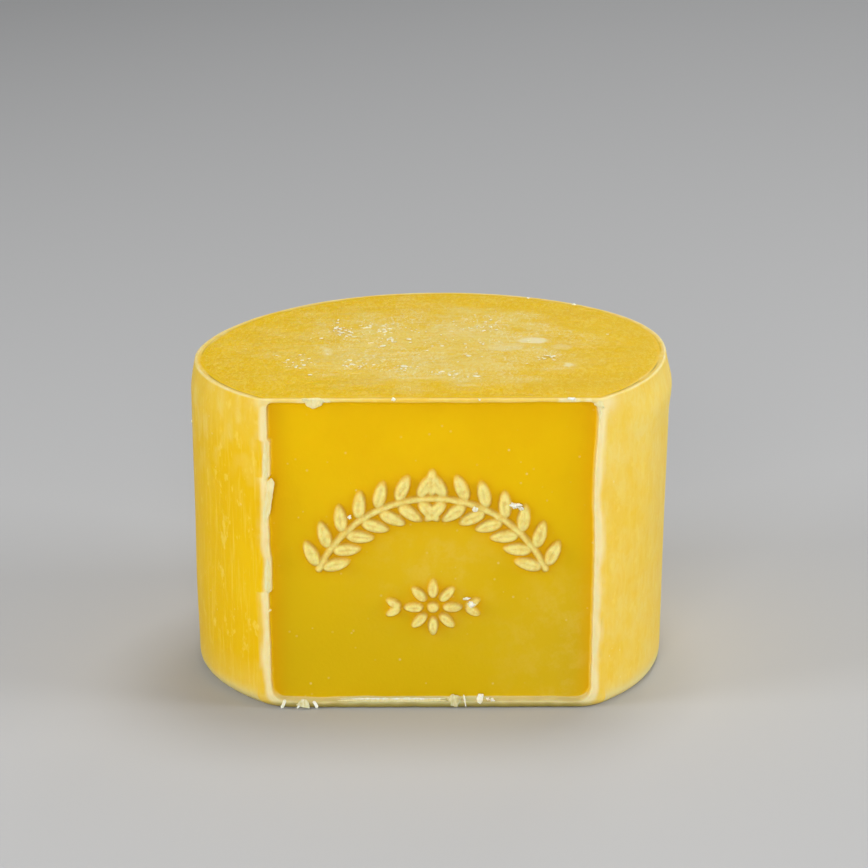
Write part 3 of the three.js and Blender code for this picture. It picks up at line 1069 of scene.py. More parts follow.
    def end_cap(self, ring: Array, index: Array, is_top: bool) -> dict[Mask, Array]:
        """Closes the top or the underside with rings that shrink to the middle.

        Args:
            ring: the wall's last or first row of vertices.
            index: their indices.
            is_top: whether it is the top.

        Returns:
            The masks of the vertices added.
        """
        step = self.top_ring_step if is_top else self.under_ring_step
        inward = np.concatenate([self.edge_rings, spread(*self.inner_rings, step)])
        centre = np.array(self.ring_middle)
        flat_ring = ring * np.array([1.0, 1.0, 0.0])
        share = 1 - inward[:, None, None] / self.ring_reach
        points = centre + (flat_ring - centre)[None] * share
        x, y = points[..., 0], points[..., 1]
        deep = self.from_rim(x, y)
        height = self.top_height(x, y, deep) if is_top else 0 * x
        points = np.stack([x, y, height], axis=-1)
        start = self.skin.extend(points)
        added = start + np.arange(x.size).reshape(x.shape)
        rows = np.concatenate([index[None, :], added])
        self.skin.grid(rows if is_top else rows[::-1], closed=True)
        last = np.array([[x[-1].mean(), y[-1].mean(), height[-1].mean()]])
        middle = self.skin.extend(last)
        self.skin.fan(added[-1], middle, flip=not is_top)
        if not is_top:
            return {mask: np.zeros(x.size + 1) for mask in Mask}
        return self.wear().top_masks(x, y, deep, self.groove(x, y, deep))

    def from_rim(self, x: Array, y: Array) -> Array:
        """How far inside the top's outline a place is, in millimetres."""
        top = np.full(x.shape, self.drum.height)
        round_side = self.drum.wall(np.arctan2(y, x), top, self.rim_rounding) - np.hypot(x, y)
        return np.minimum(round_side, y + self.drum.flat - self.brow_rounding)

    def top_height(self, x: Array, y: Array, inward: Array) -> Array:
        """The top's height: a low rounded band along the rim, a groove inside it and a smeared middle."""
        sunk = -self.top_sunk * self.top_sinks.at(inward)
        groove = -self.groove_depth * self.groove(x, y, inward)
        uneven = self.top_smears.at(x, y, 0 * x) + self.top_slow.at(x, y, 0 * x)
        return self.drum.height + sunk + groove + uneven * self.top_uneven.at(inward)

    def groove(self, x: Array, y: Array, inward: Array) -> Array:
        """How deep the groove inside the rim is, from 0 to 1: deepest at the front left and right."""
        near_corners = self.groove_corners.at(np.abs(x - self.groove_middle), y)
        along_front = self.groove_front * self.groove_forward.at(y)
        uneven = self.groove_fades.at(self.groove_waves.at(x, y, 0 * x))
        here = bell(inward - self.groove_inward, self.groove_reach)
        return np.clip(self.groove_least + near_corners, along_front, 1) * uneven * here


# ---- Torn curd ---------------------------------------------------------------------------------------


@dataclass(frozen=True)
class Shaving:
    """A thin ribbon of curd, torn up along an edge of the flat side.

    Its start and end are (x, z) places on the flat side, and the lifts say how far each stands off it. The
    ends are the shares of its width there, and it has its full width between the full shares of its length.
    """

    start: Pair
    end: Pair
    width: float
    lifts: Pair
    bow: float = 0.0
    ends: Pair = (0.8, 0.8)
    thick: float = 0.42
    full: Pair = (0.16, 0.84)
    ragged: float = 0.13
    ripple: float = 0.08
    # How square the ribbon's ends and its cross-section are, and how many corners the cross-section has.
    end_squareness: int = 16
    edge_squareness: float = 0.55
    corners: int = 14

    def rings(self, flat: float, seed: int) -> Array:
        """The ribbon's cross-sections, from its start to its end.

        Args:
            flat: the distance from the axis to the flat side.
            seed: which uneven edge it gets.

        Returns:
            The vertices, as sections by corners by 3.
        """
        run = np.array(self.end) - np.array(self.start)
        t = np.linspace(0, 1, 24 + int(4 * np.hypot(*run)))
        side = np.array([-run[1], run[0]]) / np.hypot(*run)
        ends = np.interp(t, [0, *self.full, 1], [self.ends[0], 1, 1, self.ends[1]])
        length = np.hypot(*run)
        torn = 1 + Waves(seed, 1.6, 18, height=self.ragged).at(length * t, 0 * t, 0 * t)
        width = self.width * ends * torn
        bow = self.bow * np.sin(math.pi * t)
        x = self.start[0] + run[0] * t + side[0] * bow
        z = self.start[1] + run[1] * t + side[1] * bow
        ripple = Waves(seed + 1, 2.5, height=self.ripple)
        lift = np.interp(t, [0, 1], self.lifts) + ripple.at(length * t, 0 * t, 0 * t)
        round_ends = np.sqrt(np.clip(1 - (2 * t - 1) ** self.end_squareness, 0.02, 1))
        corner = np.linspace(0, 2 * math.pi, self.corners + 1)[:-1]
        over = np.sign(np.cos(corner)) * np.abs(np.cos(corner)) ** self.edge_squareness
        out = np.sin(corner) * self.thick / 2
        across = over[None, :] * width[:, None] / 2 * round_ends[:, None]
        y = -flat - lift[:, None] - out[None, :] * round_ends[:, None]
        return np.stack([x[:, None] + side[0] * across, y, z[:, None] + side[1] * across], axis=-1)


@dataclass(frozen=True)
class Lump:
    """An uneven closed lump: a crumb, a flake, a burr or a bead, by its half sizes and its turn."""

    centre: Triple
    half: Triple
    turn: Triple = (0.0, 0.0, 0.0)
    rough: float = 0.18
    taper: float = 0.0
    pole_gap: float = 0.12

    def rings(self, seed: int, around: int, along: int) -> Array:
        """The lump's cross-sections, from its foot to its tip.

        Args:
            seed: which uneven surface it gets.
            around: how many vertices each section has.
            along: how many sections it has.

        Returns:
            The vertices, as sections by corners by 3.
        """
        highest = math.pi / 2 - self.pole_gap
        lift = np.linspace(-highest, highest, along)[:, None]
        spin = np.linspace(0, 2 * math.pi, around + 1)[None, :-1]
        unit = np.stack(
            [np.cos(lift) * np.cos(spin), np.cos(lift) * np.sin(spin), np.sin(lift) + 0 * spin], axis=-1
        )
        lumpy = 1 + Waves(seed, 1.1, 20, height=self.rough).at(*np.moveaxis(unit, -1, 0))
        narrowing = 1 - self.taper * (unit[..., 2:] + 1) / 2
        shaped = unit * lumpy[..., None] * np.array(self.half)
        shaped[..., :2] *= narrowing
        rotation = Matrix.Rotation(self.turn[2], 3, "Z") @ Matrix.Rotation(self.turn[1], 3, "Y")
        rotation = np.array(rotation @ Matrix.Rotation(self.turn[0], 3, "X"))
        return shaped @ rotation.T + np.array(self.centre)


@dataclass(frozen=True)
class Cluster:
    """A cluster of beads on the top: its middle, how wide and deep it spreads, and how many beads it has."""

    middle: Pair
    wide: float
    deep: float
    count: int


@dataclass
class TornEdges:
    """The shavings, burrs, flakes and crumbs that cling to the block, and the beads of whey on its top."""

    block: Block
    around: int = 20
    along: int = 14
    # The beads: half the least size and what is added to it at most, and shares of each bead's size.
    bead_sizes: Pair = (0.13, 0.26)
    bead_width: Pair = (0.8, 2.2)
    bead_depth: Pair = (1.2, 3.2)
    bead_flatness: float = 0.45
    bead_turn: float = 0.5
    bead_spread: float = 0.7
    bead_lift: float = 0.02

    def shavings(self) -> bpy.types.Object:
        """Makes the ribbons torn up along the panel's left edge and the smear over its upper edge."""
        ribbons = [
            Shaving(
                (-42.35, 71.4), (-42.45, 61.4), 1.3, (0.1, 0.2),
                bow=0.05, ends=(0.15, 0.95), thick=0.3, full=(0.45, 0.95), ragged=0.08,
            ),
            Shaving(
                (-40.8, 62.0), (-42.7, 50.2), 1.85, (0.8, 0.15),
                bow=0.12, ends=(0.5, 0.4), thick=0.3, full=(0.1, 0.8), ragged=0.08,
            ),
            Shaving(
                (-42.2, 40.6), (-42.3, 31.4), 1.35, (0.05, 0.12),
                bow=0.0, ends=(0.2, 0.95), thick=0.3, full=(0.3, 0.95), ragged=0.08,
            ),
            Shaving((-42.2, 26.2), (-41.4, 27.1), 0.45, (0.1, 0.5), bow=0.0, ends=(1.0, 0.3), thick=0.3),
            Shaving(
                (-24.8, 2.1), (3.2, 2.1), 0.9, (-0.1, -0.1),
                bow=0.05, ends=(0.3, 0.3), thick=0.3, full=(0.25, 0.8), ragged=0.12,
            ),
        ]
        flat = -self.block.drum.flat
        smear = [
            Lump((-29.9, flat + 0.12, 81.3), (3.4, 0.38, 1.45), (math.pi, 0.05, 0), rough=0.2, taper=0.65),
            Lump((-31.9, flat + 0.2, 82.1), (1.1, 0.3, 0.22), (0.0, 0.02, 0), rough=0.2),
            Lump((-26.5, flat + 0.15, 81.7), (0.8, 0.25, 0.3), (0.0, 0.1, 0), rough=0.25),
            Lump((41.6, flat + 0.25, 80.8), (1.2, 0.38, 0.75), (0.0, 0.6, 0), rough=0.4),
            Lump((41.75, flat + 0.2, 78.3), (0.35, 0.32, 1.3), (0.0, 0.05, 0), rough=0.4),
        ]
        return self.gather("shavings", smear, 60, ribbons=ribbons)

    def damp_bits(self) -> bpy.types.Object:
        """Makes the greyish, damp flap and lump on the strip under the panel."""
        flap = Shaving(
            (-33.2, 2.6), (-33.7, 0.65), 3.9, (0.1, 0.9),
            bow=0.1, ends=(0.34, 1.0), thick=0.35, full=(0.9, 0.99), ragged=0.06,
        )
        place = (5.3, -self.block.drum.flat + 0.25, 2.0)
        lump = Lump(place, (1.7, 0.5, 1.6), (-0.1, 0.1, 0), rough=0.16, taper=0.1)
        return self.gather("damp_bits", [lump], 120, ribbons=[flap])

    def crumbs(self) -> bpy.types.Object:
        """Makes the burrs, flakes and crumbs of torn curd."""
        flat, top = -self.block.drum.flat, self.block.drum.height
        floor = flat + self.block.panel.depth
        white_ribbons = [
            Shaving(
                (-24.2, 2.6), (3.0, 2.6), 0.4, (0.0, 0.0),
                bow=0.04, ends=(0.2, 0.3), thick=0.35, full=(0.15, 0.9), ragged=0.5,
            ),
            Shaving((-33.4, 2.5), (-35.2, 0.4), 0.5, (0.3, 1.1), bow=0.1, ends=(0.5, 0.5), thick=0.35),
            Shaving((-38.2, 2.5), (-39.2, 0.4), 0.8, (0.15, 0.9), bow=0.1, ends=(0.7, 0.3), thick=0.4),
            Shaving((-31.0, 2.1), (-29.9, 0.4), 0.85, (0.15, 0.9), bow=0.1, ends=(0.7, 0.2), thick=0.35),
        ]
        lumps = [
            Lump((7.9, flat - 0.3, 2.05), (0.3, 0.3, 1.4), (0.1, math.radians(170), 0), rough=0.2, taper=0.6),
            Lump((11.8, flat - 0.2, 2.75), (0.72, 0.6, 1.05), (0.0, 0.3, 0), rough=0.3),
            Lump((13.9, flat - 0.15, 2.6), (0.42, 0.3, 0.32), (0.0, 0.0, 0), rough=0.35),
            Lump((14.9, flat - 0.15, 2.35), (0.5, 0.34, 0.4), (0.0, 0.6, 0), rough=0.35),
            Lump((-9.9, flat + 0.2, 82.1), (0.5, 0.4, 0.45), (0.2, 0.2, 0), rough=0.3),
            Lump((11.5, flat + 0.15, 82.1), (0.3, 0.25, 0.28), (0, 0, 0), rough=0.3),
            Lump((34.4, flat + 0.3, 82.3), (0.85, 0.4, 0.4), (0.3, 0.1, 0), rough=0.35),
            Lump((35.5, flat + 0.2, 82.0), (0.35, 0.3, 0.3), (0, 0, 0), rough=0.35),
            Lump((20.6, floor - 1.9, 54.3), (1.25, 0.5, 0.75), (0.2, 0.35, 0.2), rough=0.42),
            Lump((21.9, floor - 1.6, 53.4), (0.7, 0.3, 0.45), (0.5, 0.5, 0.3), rough=0.4),
            Lump((10.5, floor - 1.5, 53.2), (0.7, 0.35, 0.55), (0.1, 0.2, 0), rough=0.4),
            Lump((9.6, floor - 1.75, 27.9), (0.8, 0.4, 0.75), (0.1, 0.5, 0), rough=0.42),
            Lump((8.2, floor - 1.4, 29.3), (0.9, 0.25, 0.35), (0.2, -0.2, 0), rough=0.4),
            Lump((-21.3, floor - 1.8, 51.2), (0.4, 0.3, 0.35), (0, 0, 0), rough=0.4),
            Lump((26.6, 57.6, top + 0.05), (0.4, 0.5, 0.25), (0, 0, 0), rough=0.35),
            Lump((39.2, 49.8, top + 0.05), (0.5, 0.45, 0.3), (0, 0, 0), rough=0.35),
            Lump((-63.95, 4.0, 62.0), (0.5, 0.5, 0.85), (0, 0.2, 0), rough=0.35),
        ]
        return self.gather("crumbs", lumps, 80, ribbons=white_ribbons)

    def beads(self) -> bpy.types.Object:
        """Makes the small glossy beads on the top, in uneven clusters."""
        rng = np.random.default_rng(91)
        top = self.block.drum.height
        clusters = [
            Cluster((-25, 20), 2.6, 6.5, 26),
            Cluster((-14, 22), 6.5, 5.0, 40),
            Cluster((-11.6, 9.7), 2.4, 2.4, 16),
            Cluster((-19.8, -15.2), 3.0, 3.5, 22),
            Cluster((-36, -14), 4.5, 6.0, 22),
            Cluster((14.5, 24.7), 3.0, 9.0, 30),
            Cluster((29.5, -6.4), 1.8, 2.6, 12),
            Cluster((4, -24), 6.0, 3.0, 26),
            Cluster((-8, -18), 3.0, 3.0, 14),
            Cluster((2, 8), 26.0, 20.0, 50),
        ]
        lumps = []
        small, more = self.bead_sizes
        for cluster in clusters:
            for _ in range(cluster.count):
                size = small + more * rng.random() ** 3
                x = cluster.middle[0] + cluster.wide * rng.normal() * self.bead_spread
                y = cluster.middle[1] + cluster.deep * rng.normal() * self.bead_spread
                wide, deep = size * rng.uniform(*self.bead_width), size * rng.uniform(*self.bead_depth)
                half, turn = (wide, deep, size * self.bead_flatness), (0, 0, rng.normal() * self.bead_turn)
                lumps.append(Lump((x, y, top + self.bead_lift), half, turn, rough=0.2))
        # Flat pale streaks among the beads: painted highlights on the wet top.
        streaks = [(-18.1, 23.9, 1.7, 0.35), (-21.2, 14.1, 0.8, 0.4), (-16.7, 7.6, 0.7, 0.35)]
        for x, y, wide, deep in streaks:
            lumps.append(Lump((x, y, top + 0.03), (wide, deep, 0.16), (0, 0, 0.1), rough=0.25))
        return self.gather("beads", lumps, 200, around=10, along=7)

    def gather(
        self,
        name: str,
        lumps: list[Lump],
        seed: int,
        around: int | None = None,
        along: int | None = None,
        ribbons: list[Shaving] | None = None,
    ) -> bpy.types.Object:
        """Makes one piece of many lumps.

        Args:
            name: the piece's name.
            lumps: the lumps.
            seed: the first lump's seed; the next ones follow it.
            around: how many vertices each section has, if not the usual number.
            along: how many sections each lump has, if not the usual number.
            ribbons: thin ribbons that belong to the same piece.

        Returns:
            The object.
        """
        skin = Skin()
        for number, ribbon in enumerate(ribbons or []):
            self.loft(skin, ribbon.rings(self.block.drum.flat, 2 * seed + 2 * number))
        for number, lump in enumerate(lumps):
            self.loft(skin, lump.rings(seed + number, around or self.around, along or self.along))
        return skin.build(name)

    def loft(self, skin: Skin, rings: Array) -> None:
        """Adds a closed surface through rings of vertices."""
        first = skin.extend(rings)
        index = first + np.arange(rings.shape[0] * rings.shape[1]).reshape(rings.shape[:2])
        skin.grid(index, closed=True)
        foot, tip = skin.extend(rings[0].mean(axis=0)), skin.extend(rings[-1].mean(axis=0))
        skin.fan(index[0], foot, flip=True)
        skin.fan(index[-1], tip, flip=False)


# ---- Finishes ----------------------------------------------------------------------------------------


class Value:
    """A number that varies over a surface: a node's socket on which ordinary arithmetic works."""

    def __init__(self, maker: "NodeMaker", socket: bpy.types.NodeSocket) -> None:
        """Wraps a socket of a maker's tree."""
        self.maker = maker
        self.socket = socket

    def _math(self, operation: str, *terms: Any) -> "Value":
        """Adds one Math node over these terms and wraps its result."""
        settings = {"operation": operation}
        return self.maker.value("ShaderNodeMath", settings, dict(enumerate(terms)))

    def __add__(self, other: Any) -> "Value":
        """The sum."""
        return self._math("ADD", self, other)

    def __radd__(self, other: Any) -> "Value":
        """The sum, with the number first."""
        return self._math("ADD", other, self)

    def __sub__(self, other: Any) -> "Value":
        """The difference."""
        return self._math("SUBTRACT", self, other)

    def __rsub__(self, other: Any) -> "Value":
        """The difference, with the number first."""
        return self._math("SUBTRACT", other, self)

    def __mul__(self, other: Any) -> "Value":
        """The product."""
        return self._math("MULTIPLY", self, other)

    def __rmul__(self, other: Any) -> "Value":
        """The product, with the number first."""
        return self._math("MULTIPLY", other, self)

    def most(self, other: Any) -> "Value":
        """The larger of the two."""
        return self._math("MAXIMUM", self, other)

    def step(self, low: float, high: float) -> "Value":
        """A smooth step from 0 at low to 1 at high."""
        settings = {"interpolation_type": "SMOOTHSTEP"}
        return self.maker.value("ShaderNodeMapRange", settings, {0: self, 1: low, 2: high})


class NodeMaker:
    """Adds nodes to one material's tree."""

    def __init__(self, name: str) -> None:
        """Makes an empty material of this name."""
        self.material = bpy.data.materials.new(name)
        self.material.use_nodes = True
        self.tree = self.material.node_tree
        self.tree.nodes.clear()
        self.place = self.node("ShaderNodeTexCoord", {}, {}).outputs["Object"]

    def node(self, kind: str, settings: dict[str, Any], sockets: dict[Any, Any]) -> bpy.types.Node:
        """Adds a node.

        Args:
            kind: the node's type.
            settings: its properties, set first.
            sockets: values or links, by the input's name or index.

        Returns:
            The node.
        """
        made = self.tree.nodes.new(kind)
        for name, setting in settings.items():
            setattr(made, name, setting)
        for key, given in sockets.items():
            plain = given.socket if isinstance(given, Value) else given
            if isinstance(plain, bpy.types.NodeSocket):
                self.tree.links.new(plain, made.inputs[key])
            else:
                made.inputs[key].default_value = plain
        return made

    def value(self, kind: str, settings: dict[str, Any], sockets: dict[Any, Any], output: Any = 0) -> Value:
        """Adds a node and wraps one of its outputs."""
        return Value(self, self.node(kind, settings, sockets).outputs[output])

    def mask(self, mask: Mask) -> Value:
        """A mask that the mesh carries."""
        return self.value("ShaderNodeAttribute", {"attribute_name": mask.value}, {}, "Fac")

    def stretched(self, x: float, y: float, z: float) -> bpy.types.NodeSocket:
        """Places on the piece in millimetres, divided by a grain size along each axis."""
        scale = (1 / MM / x, 1 / MM / y, 1 / MM / z)
        sockets = {0: self.place, 1: scale}
        return self.node("ShaderNodeVectorMath", {"operation": "MULTIPLY"}, sockets).outputs[0]

    def noise(
        self, size: Triple, detail: float = 3.0, rough: float = 0.55, swirl: float = 0.0
    ) -> Value:
        """Cloudy noise from 0 to 1.

        Args:
            size: the grains' sizes along each axis, in millimetres.
            detail: how many finer layers it has.
            rough: how strong the finer layers are.
            swirl: how far it is stirred.

        Returns:
            The noise.
        """
        sockets = {"Vector": self.stretched(*size), "Scale": 1.0, "Detail": detail}
        sockets |= {"Roughness": rough, "Distortion": swirl}
        return self.value("ShaderNodeTexNoise", {}, sockets, 0)

    def spots(self, size: float, radius: float) -> Value:
        """Scattered soft round spots, from 0 to 1."""
        sockets = {"Vector": self.stretched(size, size, size), "Scale": 1.0, "Randomness": 1.0}
        distance = self.value("ShaderNodeTexVoronoi", {"feature": "F1"}, sockets, "Distance")
        return 1 - distance.step(radius * 0.5, radius)

    def mix(self, share: Any, first: Any, second: Any) -> bpy.types.NodeSocket:
        """A mix of two colours."""
        settings = {"data_type": "RGBA", "blend_type": "MIX"}
        made = self.node("ShaderNodeMix", settings, {0: share, 6: first, 7: second})
        return made.outputs[2]

    def finish(self, sockets: dict[str, Any]) -> bpy.types.Material:
        """Adds the surface shader and gives back the material."""
        shader = self.node("ShaderNodeBsdfPrincipled", {}, sockets)
        self.node("ShaderNodeOutputMaterial", {}, {"Surface": shader.outputs[0]})
        return self.material


@dataclass(frozen=True)
class CheeseFinish:
    """Waxy yellow cheese: smeared and dry on top, streaked on the wall, cream where edges are worn, with
    painted shade round the ornament, in the rim's groove and low down, and painted sheen and edge highlights.
    """

    deep: Colour = (0.81, 0.50, 0.001, 1)
    full: Colour = (0.79, 0.475, 0.001, 1)
    # Painted shade round the ornament and inside the panel's sides.
    shade_amber: Colour = (0.67, 0.35, 0.001, 1)
    light: Colour = (0.85, 0.59, 0.06, 1)
    # Painted shade towards the panel's foot.
    low: Colour = (0.62, 0.42, 0.004, 1)
    dry: Colour = (0.82, 0.62, 0.15, 1)
    cream: Colour = (0.86, 0.76, 0.42, 1)
    fresh: Colour = (0.85, 0.73, 0.24, 1)
    # Partly painted shade, on the strip and where the round wall curves under.
    grey: Colour = (0.66, 0.63, 0.33, 1)
    shade: Colour = (0.32, 0.25, 0.05, 1)
    rough: float = 0.42
    scatter: float = 0.25
    scatter_reach: float = 0.0025
    gloss: float = 0.04

    def make(self) -> bpy.types.Material:
        """Makes the block's material."""
        to = NodeMaker("cheese_block")
        top, panel, raised = to.mask(Mask.TOP), to.mask(Mask.PANEL), to.mask(Mask.RAISED)
        worn, rim, occlusion_shade = to.mask(Mask.WORN_AND_EDGE_HIGHLIGHT), to.mask(Mask.RIM), to.mask(Mask.HALO)
        dry, grey = to.mask(Mask.DRY_AND_SHEEN), to.mask(Mask.GREY)
        wall = (1 - top) * (1 - panel)
        clouds = to.noise((22, 22, 22), 3)
        colour = to.mix(clouds.step(0.35, 0.65), self.full, self.deep)
        # Painted shade: the panel's floor darker towards its foot.
        colour = to.mix(to.mask(Mask.LOW) * 0.8, colour, self.low)
        colour = to.mix(self.streaks(to) * wall * 0.85, colour, self.light)
        uneven = to.noise((2.6, 2.6, 4.0), 5, 0.7, 0.5).step(0.36, 0.62)
        # Dry patches on the wall, on the right wall partly painted sheen.
        colour = to.mix((dry * (0.66 + 0.36 * uneven) + 0.04 * clouds) * wall, colour, self.dry)
        colour = to.mix(self.panel_bloom(to) * dry * panel, colour, self.dry)
        colour = to.mix(self.rubbed(to) * top * 0.75, colour, self.light)
        # Dry smears on the top, with painted sheen in its middle.
        colour = to.mix(self.smears(to) * dry * top, colour, self.dry)
        colour = to.mix(self.flecks(to) * top * (0.12 + 0.78 * dry), colour, self.cream)
        # Painted orange shade round the ornament and inside the panel's sides.
        colour = to.mix(occlusion_shade * panel * 0.75, colour, self.shade_amber)
        mottled = to.noise((1.6, 1.6, 1.6), 4, 0.65)
        colour = to.mix(raised * (0.6 + 0.6 * mottled.step(0.3, 0.7)), colour, self.fresh)
        colour = to.mix(rim * 0.55, colour, self.cream)
        # Cream worn edges, with a painted highlight along the top's edge.
        colour = to.mix(worn * (0.8 + 0.2 * mottled), colour, self.cream)
        colour = to.mix(self.specks(to) * (1 - top) * 0.28, colour, self.cream)
        # Grey on the strip and where the wall curves under: partly painted shade.
        colour = to.mix(grey * (1 - top), colour, self.grey)
        colour = to.mix(grey * top * 0.9, colour, self.cream)
        # Painted shade in the rim's groove and on the strip's lower part.
        colour = to.mix(to.mask(Mask.PAINTED_SHADE) * 0.9, colour, self.shade)
        sockets = {
            "Base Color": colour,
            "Roughness": self.roughness(to, top, worn),
            "Normal": self.bump(to, top, worn),
            "Specular IOR Level": self.gloss,
            "Subsurface Weight": self.scatter,
            "Subsurface Radius": (1.0, 0.55, 0.12),
            "Subsurface Scale": self.scatter_reach,
        }
        return to.finish(sockets)

    def streaks(self, to: NodeMaker) -> Value:
        """Fine upright streaks and small pale blotches on the wall, where it slid out of its mould."""
        drawn = to.noise((1.1, 1.1, 16), 4, 0.65).step(0.5, 0.72)
        blotches = to.noise((3.2, 3.2, 5), 4, 0.6).step(0.56, 0.7)
        return (0.7 * drawn).most(blotches)

    def rubbed(self, to: NodeMaker) -> Value:
        """Short lighter flecks rubbed all over the top."""
        return to.noise((1.5, 3.4, 2.0), 5, 0.72, 1.6).step(0.48, 0.57)

    def smears(self, to: NodeMaker) -> Value:
        """Pale, dry smears over the top, brushed mostly from side to side."""
        broad = to.noise((20, 13, 20), 3, 0.5, 0.6).step(0.3, 0.56)
        mottled = to.noise((2.6, 5.0, 4), 5, 0.72, 1.2).step(0.4, 0.6)
        return 0.12 + broad * (0.26 + 0.5 * mottled)

    def flecks(self, to: NodeMaker) -> Value:
        """Small pale flecks, dabs and hair-fine brush lines on the top."""
        small = to.noise((0.9, 2.6, 1.3), 4, 0.7, 1.5).step(0.54, 0.61)
        dabs = to.noise((2.2, 4.4, 4), 5, 0.72, 2.2).step(0.54, 0.62)
        lines = to.noise((11, 1.3, 3), 3, 0.6).step(0.52, 0.66)
        here = to.noise((13, 13, 13), 2).step(0.4, 0.56)
        return (0.35 + 0.65 * here) * (0.8 * small).most(0.6 * dabs) + 0.25 * lines

    def panel_bloom(self, to: NodeMaker) -> Value:
        """Faint dry patches on the panel's floor."""
        return 0.12 + to.noise((6, 6, 6), 5, 0.7).step(0.42, 0.68) * 0.42

    def specks(self, to: NodeMaker) -> Value:
        """Tiny pale specks."""
        here = to.noise((9, 9, 9), 2).step(0.5, 0.66)
        return to.spots(2.6, 0.16) * here

    def roughness(self, to: NodeMaker, top: Value, worn: Value) -> Value:
        """How dull the surface is, place by place."""
        uneven = to.noise((3, 3, 3), 4)
        return self.rough + 0.14 * (uneven - 0.5) + worn * 0.1 - top * 0.04

    def bump(self, to: NodeMaker, top: Value, worn: Value) -> bpy.types.NodeSocket:
        """The fine relief that light catches."""
        fine = to.noise((0.7, 0.7, 0.7), 3) * 0.2
        lumps = to.noise((2.2, 2.2, 2.2), 4, 0.6) * 0.5
        brushed = to.noise((1.6, 3.0, 2.6), 5, 0.7, 1.0) * top * 2.0
        height = fine + lumps * (0.4 + worn) + brushed
        sockets = {"Height": height, "Strength": 0.5, "Distance": 0.0005}
        return to.node("ShaderNodeBump", {}, sockets).outputs[0]


@dataclass(frozen=True)
class CurdFinish:
    """Torn curd: pale cream, fibrous and a little see-through."""

    name: str = "torn_curd"
    cream: Colour = (0.84, 0.71, 0.31, 1)
    white: Colour = (0.86, 0.77, 0.42, 1)
    rough: float = 0.5
    grain: float = 0.9
    scatter: float = 0.35
    gloss: float = 0.3

    def make(self) -> bpy.types.Material:
        """Makes the material."""
        to = NodeMaker(self.name)
        fibres = to.noise((self.grain * 0.5, self.grain, self.grain * 2), 4, 0.6)
        colour = to.mix(fibres.step(0.35, 0.65), self.cream, self.white)
        height = to.noise((self.grain * 0.3, self.grain * 0.5, self.grain), 3, 0.6)
        bump = to.node("ShaderNodeBump", {}, {"Height": height, "Strength": 0.5, "Distance": 0.0003})
        sockets = {
            "Base Color": colour,
            "Roughness": self.rough + 0.2 * (fibres - 0.5),
            "Normal": bump.outputs[0],
            "Specular IOR Level": self.gloss,
            "Subsurface Weight": self.scatter,
            "Subsurface Radius": (1.0, 0.7, 0.3),
            "Subsurface Scale": 0.001,
        }
        return to.finish(sockets)


TORN_CURD = CurdFinish()
DAMP_CURD = CurdFinish(
    "damp_curd", (0.62, 0.56, 0.26, 1), (0.76, 0.72, 0.46, 1), rough=0.35, grain=1.2, scatter=0.5
)
BRIGHT_CRUMBS = CurdFinish("bright_crumbs", (0.86, 0.82, 0.56, 1), (0.92, 0.93, 0.84, 1), rough=0.3)
# Whey beads, their pale colour partly painted glints.
WHEY_BEADS_AND_GLINTS = CurdFinish(
    "whey_beads_and_glints", (0.89, 0.79, 0.42, 1), (0.94, 0.89, 0.66, 1), rough=0.3, grain=1.5, scatter=0.1, gloss=0.15
)


# ---- The studio --------------------------------------------------------------------------------------


@dataclass(frozen=True)
class Softbox:
    """A square light with soft edges, aimed at a place."""

    name: str
    place: Triple
    aim: Triple
    size: float
    power: float

    def put(self) -> None:
        """Puts the light in the scene."""
        light = bpy.data.lights.new(self.name, "AREA")
        light.size = self.size
        light.energy = self.power
        lamp = bpy.data.objects.new(self.name, light)
        lamp.location = self.place
        heading = Vector(self.aim) - Vector(self.place)
        lamp.rotation_euler = heading.to_track_quat("-Z", "Y").to_euler()
        bpy.context.scene.collection.objects.link(lamp)


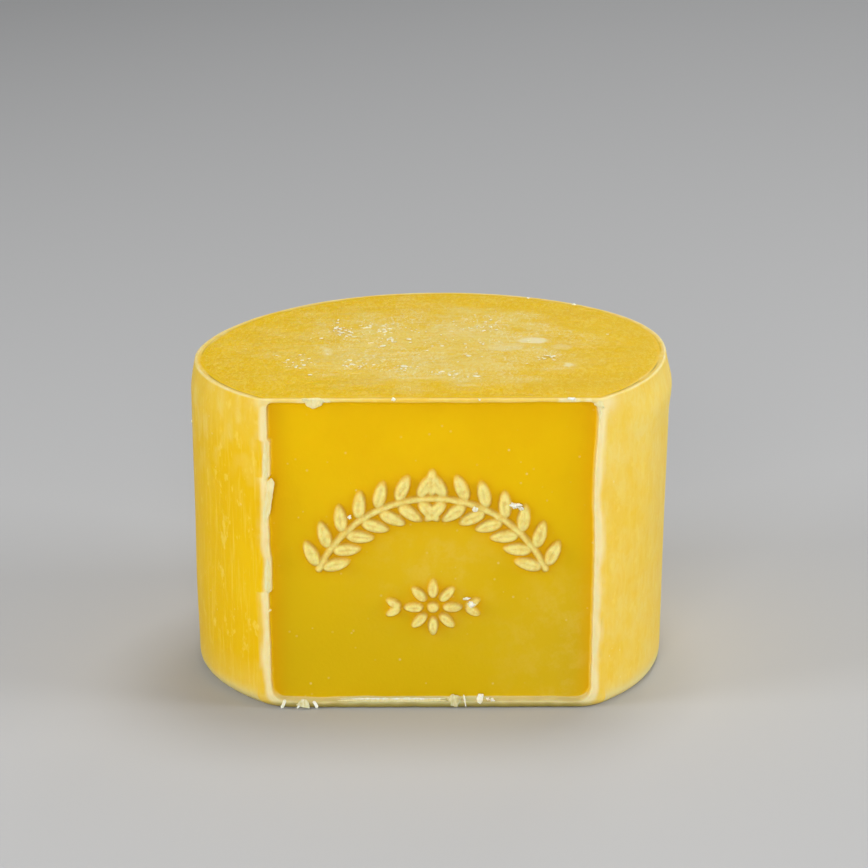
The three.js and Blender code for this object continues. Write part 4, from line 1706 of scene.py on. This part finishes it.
@dataclass(frozen=True)
class Studio:
    """The camera, the lights and the plain pale floor."""

    lens: float = 136.85
    sensor: float = 36.0
    clip_start: float = 0.01
    distance: float = 0.8774
    pitch: float = math.radians(16.06)
    roll: float = math.radians(-0.11)
    aim: Triple = (0.00011, 0.0, 0.05935)
    floor_half: float = 6.0
    floor_colour: Colour = (0.48, 0.48, 0.48, 1)
    sky: Colour = (0.75, 0.77, 0.8, 1)
    sky_strength: float = 0.24
    light_aim: float = 0.04

    def put(self) -> None:
        """Puts everything in the scene."""
        self.camera()
        self.floor()
        self.world()
        for light in self.lights():
            light.put()
        bpy.context.scene.view_settings.view_transform = "Standard"

    def camera(self) -> None:
        """Puts the camera at the photograph's viewing angle."""
        lens = bpy.data.cameras.new("camera")
        lens.lens = self.lens
        lens.sensor_width = self.sensor
        lens.clip_start = self.clip_start
        camera = bpy.data.objects.new("camera", lens)
        back = Vector((0, -math.cos(self.pitch), math.sin(self.pitch)))
        turn = Matrix.Rotation(math.pi / 2 - self.pitch, 4, "X") @ Matrix.Rotation(self.roll, 4, "Z")
        camera.matrix_world = Matrix.Translation(Vector(self.aim) + back * self.distance) @ turn
        bpy.context.scene.collection.objects.link(camera)
        bpy.context.scene.camera = camera

    def floor(self) -> None:
        """Lays the floor."""
        half = self.floor_half
        corners = [(-half, -half, 0), (half, -half, 0), (half, half, 0), (-half, half, 0)]
        mesh = bpy.data.meshes.new("floor")
        mesh.from_pydata(corners, [], [(0, 1, 2, 3)])
        floor = bpy.data.objects.new("floor", mesh)
        to = NodeMaker("floor")
        mesh.materials.append(to.finish({"Base Color": self.floor_colour, "Roughness": 0.9}))
        bpy.context.scene.collection.objects.link(floor)

    def world(self) -> None:
        """Sets the soft light from all round."""
        world = bpy.data.worlds.new("studio")
        world.use_nodes = True
        sky = world.node_tree.nodes["Background"]
        sky.inputs["Color"].default_value = self.sky
        sky.inputs["Strength"].default_value = self.sky_strength
        bpy.context.scene.world = world

    def lights(self) -> list[Softbox]:
        """The softboxes: the key, a sheen from behind, and soft ones above, in front and on the left."""
        middle = (0.0, 0.0, self.light_aim)
        return [
            Softbox("key", (1.1, -0.15, 0.45), middle, 0.6, 7.9),
            Softbox("sheen", (0.45, 1.45, 0.75), middle, 0.35, 2.0),
            Softbox("top", (0.15, 0.4, 1.5), middle, 0.6, 9.3),
            Softbox("front", (-0.1, -0.95, 0.31), middle, 0.4, 4.9),
            Softbox("left", (-0.85, -0.3, 0.42), middle, 0.4, 3.6),
        ]


def main() -> None:
    """Builds the block and its studio, and reports each piece."""
    logging.basicConfig(level=logging.INFO, format="%(message)s")
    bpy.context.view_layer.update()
    Studio().put()
    shape = Block()
    torn = TornEdges(shape)
    block = shape.build()
    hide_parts("cheese")
    dressed = [
        (block, CheeseFinish()),
        (torn.shavings(), TORN_CURD),
        (torn.damp_bits(), DAMP_CURD),
        (torn.crumbs(), BRIGHT_CRUMBS),
        (torn.beads(), WHEY_BEADS_AND_GLINTS),
    ]
    for piece, finish in dressed:
        piece.data.materials.append(finish.make())
        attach(piece, "root")
        log.info("%s: %d faces", piece.name, len(piece.data.polygons))
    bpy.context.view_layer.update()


if __name__ == "__main__":
    main()
